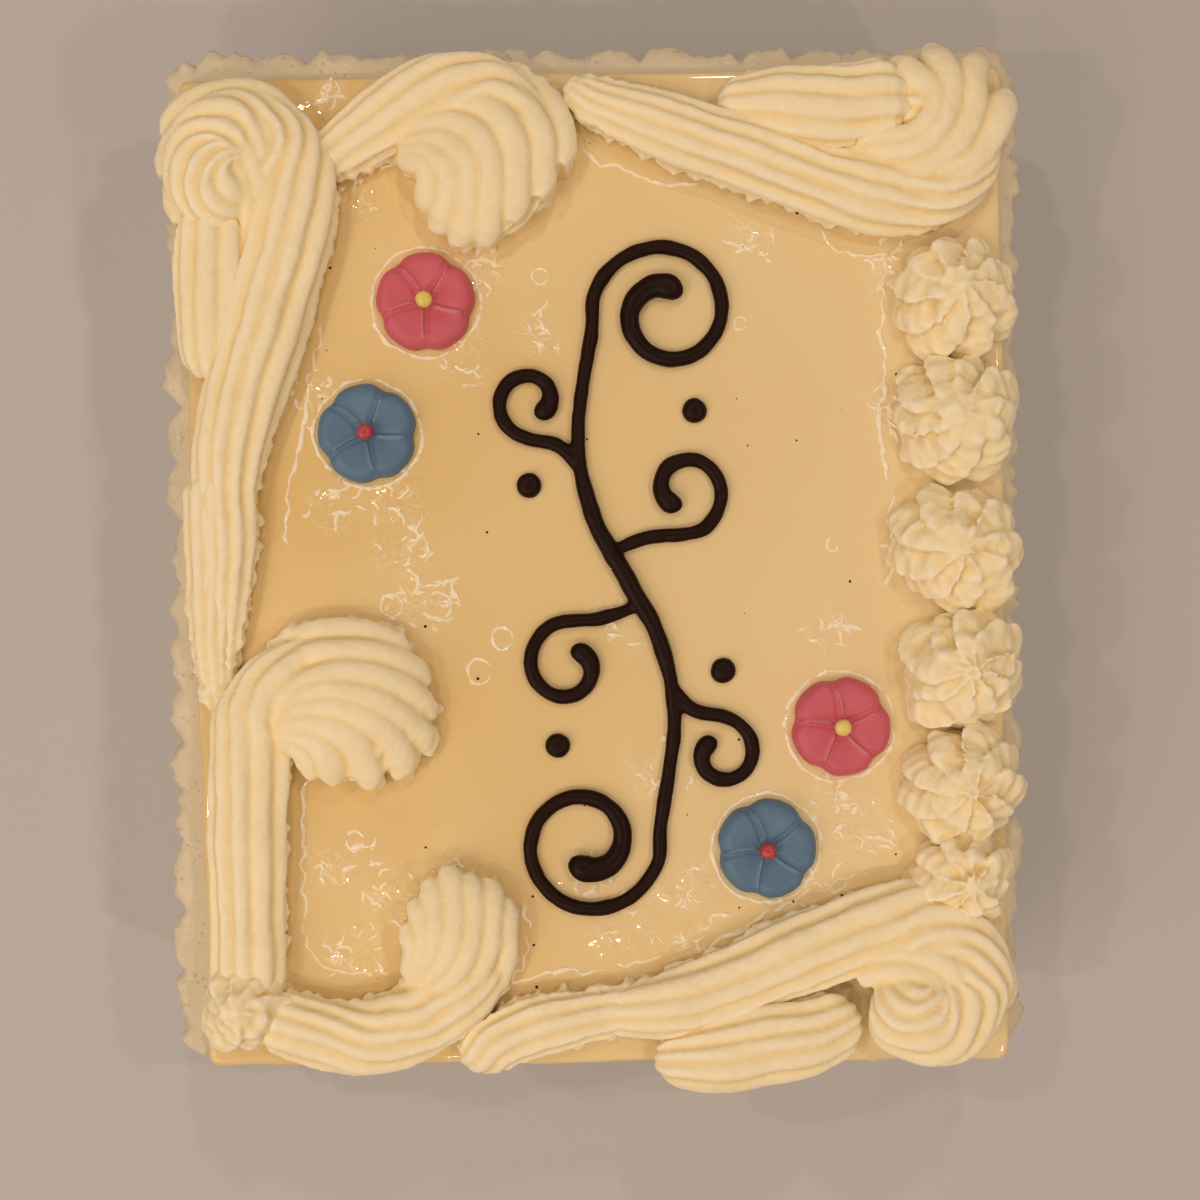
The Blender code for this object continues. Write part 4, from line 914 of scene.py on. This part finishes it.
def petal_rings(x, y, joint):
    """Rings from the flower's foot out to its rim and in to its well, with veins."""
    angles = np.radians(np.arange(0.0, 360.0, 2.0))
    between = np.abs(np.cos(2.5 * angles))
    lobe = 1.0 - 0.08 * between ** 8
    shares = np.concatenate([[1.0, 1.0], np.linspace(1.0, 0.9, 7), np.linspace(0.88, 0.03, 32)])
    heights = np.interp(shares, *np.transpose(FLOWER_SIDES))
    heights[:2] = (0.0, 0.4)
    rings, veins = [], []
    for row, (share, height) in enumerate(zip(shares, heights)):
        bent = np.degrees(angles) + PETAL_TWIST * (1.0 - share) * (row > 1)
        off = (bent + 36.0) % 72.0 - 36.0
        across = np.radians(off) * FLOWER_RADIUS * share
        inside = np.clip((share - 0.16) / 0.12, 0.0, 1.0) * np.clip((1.02 - share) / 0.1, 0.0, 1.0)
        short = np.clip((0.86 - share) / 0.12, 0.0, 1.0)
        vein = np.exp(-(across / VEIN_HALF) ** 2) * inside * short
        ditch = np.exp(-((across - DITCH_AWAY) / DITCH_HALF) ** 2) * inside
        lean = ((bent % 72.0) / 72.0 - 0.5) * inside
        relief = (VEIN_RISE * vein - DITCH_DROP * ditch - PETAL_LEAN * lean) * (row > 1)
        reach = FLOWER_RADIUS * share * (lobe if share > 0.5 else 1.0 - (1.0 - lobe) * share * 2)
        turn = angles + math.radians(joint)
        rings.append(np.column_stack([x + reach * np.cos(turn), y + reach * np.sin(turn),
                                      FOOT + height + relief]))
        veins.append(vein)
    return np.array(rings), np.concatenate([np.array(veins).ravel(), [0.0, 0.0]])


def paste_material(name, deep, pale):
    """Moulded sugar paste: matt and slightly waxy, evenly tinted right through, with a
    faint powdery bloom in random patches, a painted highlight that makes the raised veins
    paler, and fine grain under it."""
    material, tree, shader, place = start_material(name)
    bloom = add_node(tree, "ShaderNodeTexNoise", {"Vector": place, "Scale": 1 / 0.004, "Detail": 4.0})
    vein = add_node(tree, "ShaderNodeAttribute", attribute_name="vein").outputs["Fac"]
    share = add_node(tree, "ShaderNodeMath", {0: bloom, 1: 0.22}, operation="MULTIPLY")
    # Painted highlight: the raised veins are mixed towards the pale tint, over a faint random bloom.
    amount = add_node(tree, "ShaderNodeMath", {0: vein, 1: 0.7, 2: share}, operation="MULTIPLY_ADD")
    tint = add_node(
        tree, "ShaderNodeMix", {0: amount, 6: linear(deep), 7: linear(pale)}, data_type="RGBA")
    grain = add_node(tree, "ShaderNodeTexNoise", {"Vector": place, "Scale": 1 / 0.0006, "Detail": 2.0})
    relief = add_node(tree, "ShaderNodeBump", {"Height": grain, "Strength": 0.25, "Distance": 0.0002})
    fill_inputs(tree, shader, {"Base Color": tint, "Normal": relief, "Roughness": 0.5})
    return material


pastes = {colour: paste_material(f"{colour}_sugar_paste", *shades)
          for colour, shades in PASTE_COLOURS.items()}
for number, (x, y, joint, colour) in enumerate(FLOWERS, 1):
    rings, veins = petal_rings(x, y, joint)
    flower = skin(f"sugar_flower_{number}", rings, pastes[colour])
    flower.data.attributes.new("vein", "FLOAT", "POINT").data.foreach_set("value", veins)
    stand_for(flower, f"{colour}_flower_{number}")


# The pearls. Small sugar beads pressed into the flowers' wells while the paste was
# soft: rolled by hand, so a little flat and lumpy, with a thin shiny sugar glaze.
PEARL_RADIUS = 2.1
PEARL_MIDDLE = FOOT + 4.6
PEARL_COLOURS = {"pink": ("yellow_pearl", "#E6CE5C", "#F0DD84"),
                 "blue": ("red_pearl", "#A92433", "#C4505A")}


def pearl_rings(x, y, seed):
    """A rolled bead: flattened, with a lumpy side and a shallow dimple on top."""
    lifts = np.linspace(-0.97, 0.985, 15)
    angles = np.radians(np.arange(0.0, 360.0, 12.0))
    rings = []
    for lift in np.sin(lifts * math.pi / 2):
        side = math.sqrt(1.0 - lift ** 2)
        ball = np.column_stack([side * np.cos(angles), side * np.sin(angles),
                                np.full(len(angles), lift)])
        ball *= 1.0 + 0.07 * roughness_at(ball, 0.9, seed)[:, None]
        ball[:, 2] *= 0.8 - 0.06 * (lift > 0) * (1.0 - side)
        rings.append(ball * PEARL_RADIUS + (x, y, PEARL_MIDDLE))
    return np.array(rings)


def pearl_material(name, deep, pale):
    """Sugar bead with a hard glaze: strong even colour under a clear shiny skin, and
    lighter patches where the glaze ran thin."""
    material, tree, shader, place = start_material(name)
    patch = add_node(tree, "ShaderNodeTexNoise", {"Vector": place, "Scale": 1 / 0.0015, "Detail": 2.0})
    tint = add_node(tree, "ShaderNodeMix", {0: patch, 6: linear(deep), 7: linear(pale)}, data_type="RGBA")
    relief = add_node(tree, "ShaderNodeBump", {"Height": patch, "Strength": 0.2, "Distance": 0.0002})
    fill_inputs(
        tree, shader, {"Base Color": tint, "Normal": relief, "Roughness": 0.3, "Coat Weight": 0.4})
    return material


glazes = {colour: pearl_material(*shades) for colour, shades in PEARL_COLOURS.items()}
for number, (x, y, joint, colour) in enumerate(FLOWERS, 1):
    pearl = skin(f"sugar_pearl_{number}", pearl_rings(x, y, number * 5.3), glazes[colour])
    stand_for(pearl, f"pearl_{number}")


# The chocolate vine. Melted dark chocolate piped from a paper cone with a round hole:
# one long line with a curl at each end, four small curls that run into it, and four
# loose dots. The lines are round on top, swell where the cone slowed, and set with a
# soft shine.
VINE_MIDDLE = (8.5, -2.5)
VINE_SPREAD = 1.1
LINE_HALF = 1.8
LINE_HEIGHT = 2.6
LINE_STEP = 0.6
CHOCOLATE_GRAIN = 0.45
DOT_RADIUS = 3.1
DOTS = [(15.5, 38.0), (-22.0, 21.0)]


def curl(centre, radius, last_radius, start, sweep, half, last_half):
    """Points on a closing curl, with the line swelling to a drop at its end."""
    rows = []
    count = max(6, int(abs(sweep) / 30))
    for i in range(count + 1):
        t = i / count
        r = radius + (last_radius - radius) * t
        angle = math.radians(start + sweep * t)
        swell = half + (last_half - half) * t ** 4
        rows.append((centre[0] + r * math.cos(angle), centre[1] + r * math.sin(angle), 0.0, swell))
    return rows


def vine_lines():
    """The vine and its curls: half of it, and the same half turned right round."""
    vine = [(0.0, 0.0, 0.0, 2.4), (-7.5, 14.0, 0.0, 2.2), (-11.0, 32.0, 0.0, LINE_HALF)]
    vine += curl((9.0, 60.0), 17.5, 5.0, 195.0, -500.0, LINE_HALF, 3.9)
    inner = [(-3.5, 6.0, 0.0, 1.4), (5.0, 9.0, 0.0, LINE_HALF)]
    inner += curl((13.0, 20.0), 10.0, 3.6, -75.0, 330.0, LINE_HALF, 3.3)
    outer = [(-9.0, 22.0, 0.0, 1.4), (-14.5, 29.5, 0.0, LINE_HALF)]
    outer += curl((-21.5, 40.0), 8.5, 3.2, -95.0, -330.0, LINE_HALF, 3.0)
    turned = [[(-x, -y, lift, half) for x, y, lift, half in line] for line in (vine, inner, outer)]
    return [list(reversed(turned[0]))[:-1] + vine, inner, outer, turned[1], turned[2]]


def line_tree():
    """Sweep a round line along each path and press its foot flat on the gel."""
    tree, given = start_tree("piped_line", {
        "Sides": 18, "Flatness": 0.83, "Foot": FOOT * MM, "Wobble": 0.00022})
    spot = add_node(tree, "GeometryNodeInputPosition")
    radius = add_node(tree, "GeometryNodeInputRadius")
    ring = add_node(
        tree, "GeometryNodeCurvePrimitiveCircle", {"Resolution": given["Sides"], "Radius": MM})
    path = add_node(tree, "GeometryNodeSetCurveNormal", {"Curve": given["Geometry"]}, mode="Z_UP")
    line = add_node(
        tree, "GeometryNodeCurveToMesh",
        {"Curve": path, "Profile Curve": ring, "Scale": radius, "Fill Caps": True})
    wobbly = push_by_noise(tree, line, 0.006, given["Wobble"])
    place = add_node(tree, "ShaderNodeSeparateXYZ", {0: spot}).outputs
    above = add_node(tree, "ShaderNodeMath", {0: place["Z"], 1: given["Foot"]}, operation="SUBTRACT")
    height = add_node(
        tree, "ShaderNodeMath", {0: above, 1: given["Flatness"], 2: given["Foot"]},
        operation="MULTIPLY_ADD")
    laid = add_node(tree, "ShaderNodeCombineXYZ", {"X": place["X"], "Y": place["Y"], "Z": height})
    flat = add_node(tree, "GeometryNodeSetPosition", {"Geometry": wobbly, "Position": laid})
    welded = add_node(tree, "GeometryNodeMergeByDistance", {"Geometry": flat, "Distance": 1e-6})
    end_tree(tree, welded, given["Material"])
    return tree


def chocolate_material():
    """Dark chocolate set from a thin line: nearly black brown with a soft shine, and
    faint dull streaks where the cocoa butter is coming to the surface."""
    material, tree, shader, place = start_material("dark_chocolate")
    streak = add_node(tree, "ShaderNodeTexNoise", {"Vector": place, "Scale": 1 / 0.005, "Detail": 4.0})
    tint = add_node(
        tree, "ShaderNodeMix", {0: streak, 6: linear("#190702"), 7: linear("#260F05")}, data_type="RGBA")
    dull = add_node(tree, "ShaderNodeMapRange", {"Value": streak, "To Min": 0.32, "To Max": 0.5})
    relief = add_node(tree, "ShaderNodeBump", {"Height": streak, "Strength": 0.15, "Distance": 0.0004})
    fill_inputs(
        tree, shader,
        {"Base Color": tint, "Roughness": dull, "Normal": relief, "Specular IOR Level": 0.14})
    return material


def dot_rings(x, y, seed):
    """A drop that has settled: a round foot, full sides and a low domed top."""
    rings = []
    angles = np.radians(np.arange(0.0, 360.0, 7.5))
    for share, rise in ((0.94, 0.0), (1.0, 0.16), (1.0, 0.32), (0.94, 0.55), (0.82, 0.76),
                        (0.62, 0.91), (0.38, 0.98), (0.15, 1.0)):
        ring = np.column_stack([np.cos(angles), np.sin(angles), np.full(len(angles), rise)])
        uneven = 1.0 + 0.06 * roughness_at(ring, 0.9, seed)
        rings.append(np.column_stack([x + DOT_RADIUS * share * uneven * ring[:, 0],
                                      y + DOT_RADIUS * share * uneven * ring[:, 1],
                                      FOOT + LINE_HEIGHT * ring[:, 2]]))
    return np.array(rings)


dark_chocolate = chocolate_material()
piped_line = line_tree()
flatness = LINE_HEIGHT / (LINE_HALF * (1.0 + ROPE_SINK))
lines = []
for line in vine_lines():
    rows = smooth_path(line, LINE_STEP)
    rows[:, :2] = rows[:, :2] * VINE_SPREAD + np.array(VINE_MIDDLE)
    edge = end_gap(rows, LINE_STEP) + 0.2
    rows[:, 3] *= np.sqrt(1.0 - (1.0 - np.clip(edge / rows[:, 3], 0.0, 1.0)) ** 2)
    rows[:, 2] = FOOT + rows[:, 3] * ROPE_SINK
    lines.append(rows)
vine = path_curve("chocolate_vine", lines)
use_tree(vine, piped_line, {"Flatness": flatness, "Material": dark_chocolate})
fuse(vine, CHOCOLATE_GRAIN, 3)
vine = settle(vine, dark_chocolate)
rest_on_gel(vine.data)
stand_for(vine, "chocolate_scroll")
for number, spot in enumerate(DOTS + [(-x, -y) for x, y in DOTS], 1):
    x, y = Vector(spot) * VINE_SPREAD + Vector(VINE_MIDDLE)
    dot = skin(f"chocolate_drop_{number}", dot_rings(x, y, number * 3.1), dark_chocolate)
    stand_for(dot, f"chocolate_dot_{number}")


# The beads of gel. Where a flower, a chocolate line or the cream was pressed on the wet
# gel, the gel was pushed up round it in a thin uneven bead, and in other places its skin
# rucked up in short squiggles. The beads are the gel itself, so they sit in its surface.
BEAD_HALF = 0.55
BEAD_FLATNESS = 0.7
BEAD_GAP = 1.2
# How strongly the beads are painted pale, as a painted highlight along them
BEAD_PAINTED_GLINT = 0.95
BEAD_SUNK = 0.13
BEAD_STEP = 0.45
BEAD_END = 1.2
RUCK_HALF = 0.5
RUCKS_EACH = 11
# Beads along the borders, and small rings where bubbles burst, as lists of (x, y)
BORDER_BEADS = [
    [(73.0, 79.0), (72.5, 67.0), (72.3, 56.0), (73.5, 51.7), (73.0, 46.0), (72.0, 37.0), (73.7, 22.0)],
    [(75.3, 19.0), (74.5, 9.5), (75.0, 2.0), (73.5, -5.0)],
    [(-3.3, 105.7), (0.3, 102.2), (7.3, 99.5), (17.0, 96.5), (26.8, 95.5)],
    [(56.0, 86.3), (60.0, 80.5), (65.5, 78.5), (74.0, 78.5)],
    [(-68.0, 60.0), (-70.5, 47.0), (-72.5, 34.0), (-75.5, 20.0), (-76.8, 4.0)],
    [(-70.0, -50.0), (-72.0, -60.0), (-72.3, -76.0), (-71.0, -94.0), (-64.5, -100.5), (-54.0, -101.5)],
    [(-17.0, -84.0), (-16.0, -95.0), (-19.5, -104.0), (-11.0, -101.0), (3.0, -100.5), (17.0, -97.5)],
    [(30.0, -94.5), (43.0, -87.0), (56.0, -80.5), (70.0, -75.5)]]
BUBBLES = [(-38.5, -9.5, 3.4), (-50.2, -9.5, 2.8), (-28.0, -25.8, 3.0), (-22.3, -17.5, 2.6),
           (-59.2, -68.2, 2.4), (37.0, 61.0, 1.6), (-13.0, 73.0, 1.9), (60.0, 6.0, 1.5)]


def ring_path(x, y, radius, seed):
    """A closed uneven ring round a place."""
    turns = np.linspace(0.0, math.tau, max(24, int(radius * 7)))
    sides = np.column_stack([np.cos(turns), np.sin(turns), np.zeros(len(turns))])
    wide = radius * (1.0 + 0.05 * roughness_at(sides, 0.8, seed) + 0.02 * roughness_at(sides, 0.3, seed))
    return [(x + w * a, y + w * b) for w, (a, b, _) in zip(wide, sides)]


def ruck_paths(draw):
    """Short squiggles strewn over the wrinkled places."""
    paths = []
    for x, y, reach in WRINKLES:
        for _ in range(RUCKS_EACH):
            turn = draw.uniform(0.0, math.tau)
            far = reach * math.sqrt(draw.random())
            spot = Vector((x + far * math.cos(turn), y + far * math.sin(turn)))
            heading = draw.uniform(-0.7, 0.7)
            path = [tuple(spot)]
            for _ in range(draw.randint(3, 8)):
                heading += draw.uniform(-1.0, 1.0)
                spot = spot + Vector((math.cos(heading), math.sin(heading))) * draw.uniform(0.5, 1.0)
                path.append(tuple(spot))
            paths.append(path)
    return paths


def add_beads(name, paths, half, wander, draw):
    """Lay beads of gel along plan paths, thick and thin by turns, as one piece."""
    lines = []
    for path in paths:
        rows = smooth_path([(x, y, 0.0, half * draw.uniform(0.5, 1.25)) for x, y in path], BEAD_STEP)
        spots = rows[:, :3] * (1.0, 1.0, 0.0)
        rows[:, 0] += wander * roughness_at(spots, 3.5, 3.0)
        rows[:, 1] += wander * roughness_at(spots, 3.5, 13.0)
        rows[:, 3] *= np.clip(1.0 + 1.3 * roughness_at(spots, 2.2, 23.0), 0.15, 1.5)
        edge = end_gap(rows, BEAD_STEP) + 0.1
        rows[:, 3] *= np.clip(edge / BEAD_END, 0.0, 1.0) ** 0.5
        rows[:, 2] = FOOT - BEAD_SUNK
        lines.append(rows)
    beads = path_curve(name, lines)
    use_tree(beads, piped_line, {"Sides": 8, "Flatness": BEAD_FLATNESS, "Wobble": 0.0001,
                                 "Material": vanilla_gel})
    beads = settle(beads, vanilla_gel)
    # Mark the beads for the gel's painted highlight, which paints them pale
    pale = beads.data.attributes.new("bead", "FLOAT", "POINT").data
    pale.foreach_set("value", np.full(len(pale), BEAD_PAINTED_GLINT))
    stand_for(beads, None)


flower_rings = [ring_path(x, y, FLOWER_RADIUS + BEAD_GAP, number * 7.7)
                for number, (x, y, joint, colour) in enumerate(FLOWERS, 1)]
bubble_rings = [ring_path(x, y, radius, radius * 9.1) for x, y, radius in BUBBLES]
add_beads("gel_beads_round_flowers", flower_rings, BEAD_HALF, 0.5, draw)
add_beads("gel_beads_at_borders", BORDER_BEADS, BEAD_HALF, 1.6, draw)
add_beads("gel_bubble_rings", bubble_rings, BEAD_HALF * 0.8, 0.7, draw)
add_beads("gel_rucks", ruck_paths(draw), RUCK_HALF, 0.4, draw)


# The set for the picture: a plain pale floor, warm soft light from all round with a
# broad lamp at the lower left, small lamps that make the glints on the wet gel, and
# the camera straight above.
WARM = (1.0, 0.80, 0.66)
ROOM_LIGHT = 0.31
# Where the small lamps hang, as (azimuth, tilt from upright), and how far off
SMALL_LAMPS = [(20.0, 30.0), (80.0, 36.0), (140.0, 28.0), (200.0, 34.0), (260.0, 30.0), (320.0, 38.0)]
SMALL_LAMPS_AWAY = 1.3


def floor_material():
    """Matt painted board: pale neutral grey with very faint clouding."""
    material, tree, shader, place = start_material("matt_board")
    cloud = add_node(tree, "ShaderNodeTexNoise", {"Vector": place, "Scale": 3.0, "Detail": 2.0})
    tint = add_node(
        tree, "ShaderNodeMix", {0: cloud, 6: linear("#C1C1C0"), 7: linear("#C5C5C4")}, data_type="RGBA")
    fill_inputs(tree, shader, {"Base Color": tint, "Roughness": 0.9})
    return material


floor_mesh = bpy.data.meshes.new("floor")
floor_mesh.from_pydata([(-4, -4, 0), (4, -4, 0), (4, 4, 0), (-4, 4, 0)], [], [(0, 1, 2, 3)])
floor = link_piece("floor", floor_mesh, floor_material())

world = bpy.data.worlds.new("room")
world.use_nodes = True
fill_inputs(world.node_tree, world.node_tree.nodes["Background"],
            {"Color": (*WARM, 1.0), "Strength": ROOM_LIGHT})
bpy.context.scene.world = world


def add_lamp(name, place, size, power):
    """A square lamp at a place, turned to the cake."""
    lamp = bpy.data.lights.new(name, "AREA")
    lamp.size = size
    lamp.energy = power
    lamp.color = WARM
    holder = bpy.data.objects.new(name, lamp)
    holder.location = place
    holder.rotation_euler = (Vector((0.0, 0.0, 0.06)) - Vector(place)).to_track_quat("-Z", "Y").to_euler()
    bpy.context.scene.collection.objects.link(holder)


add_lamp("broad_lamp", (-0.9, -0.8, 1.0), 0.9, 5.2)
for number, (azimuth, tilt) in enumerate(SMALL_LAMPS, 1):
    turn, lean = math.radians(azimuth), math.radians(tilt)
    ray = Vector((math.sin(lean) * math.cos(turn), math.sin(lean) * math.sin(turn), math.cos(lean)))
    add_lamp(f"small_lamp_{number}", ray * SMALL_LAMPS_AWAY, 0.05, 1.3)

camera = bpy.data.cameras.new("camera")
camera.lens = 42.0
camera.sensor_width = 36.0
camera.clip_start = 0.01
viewer = bpy.data.objects.new("camera", camera)
viewer.location = (0.002, -0.008, 0.410)
bpy.context.scene.collection.objects.link(viewer)
bpy.context.scene.camera = viewer
bpy.context.scene.view_settings.view_transform = "Standard"
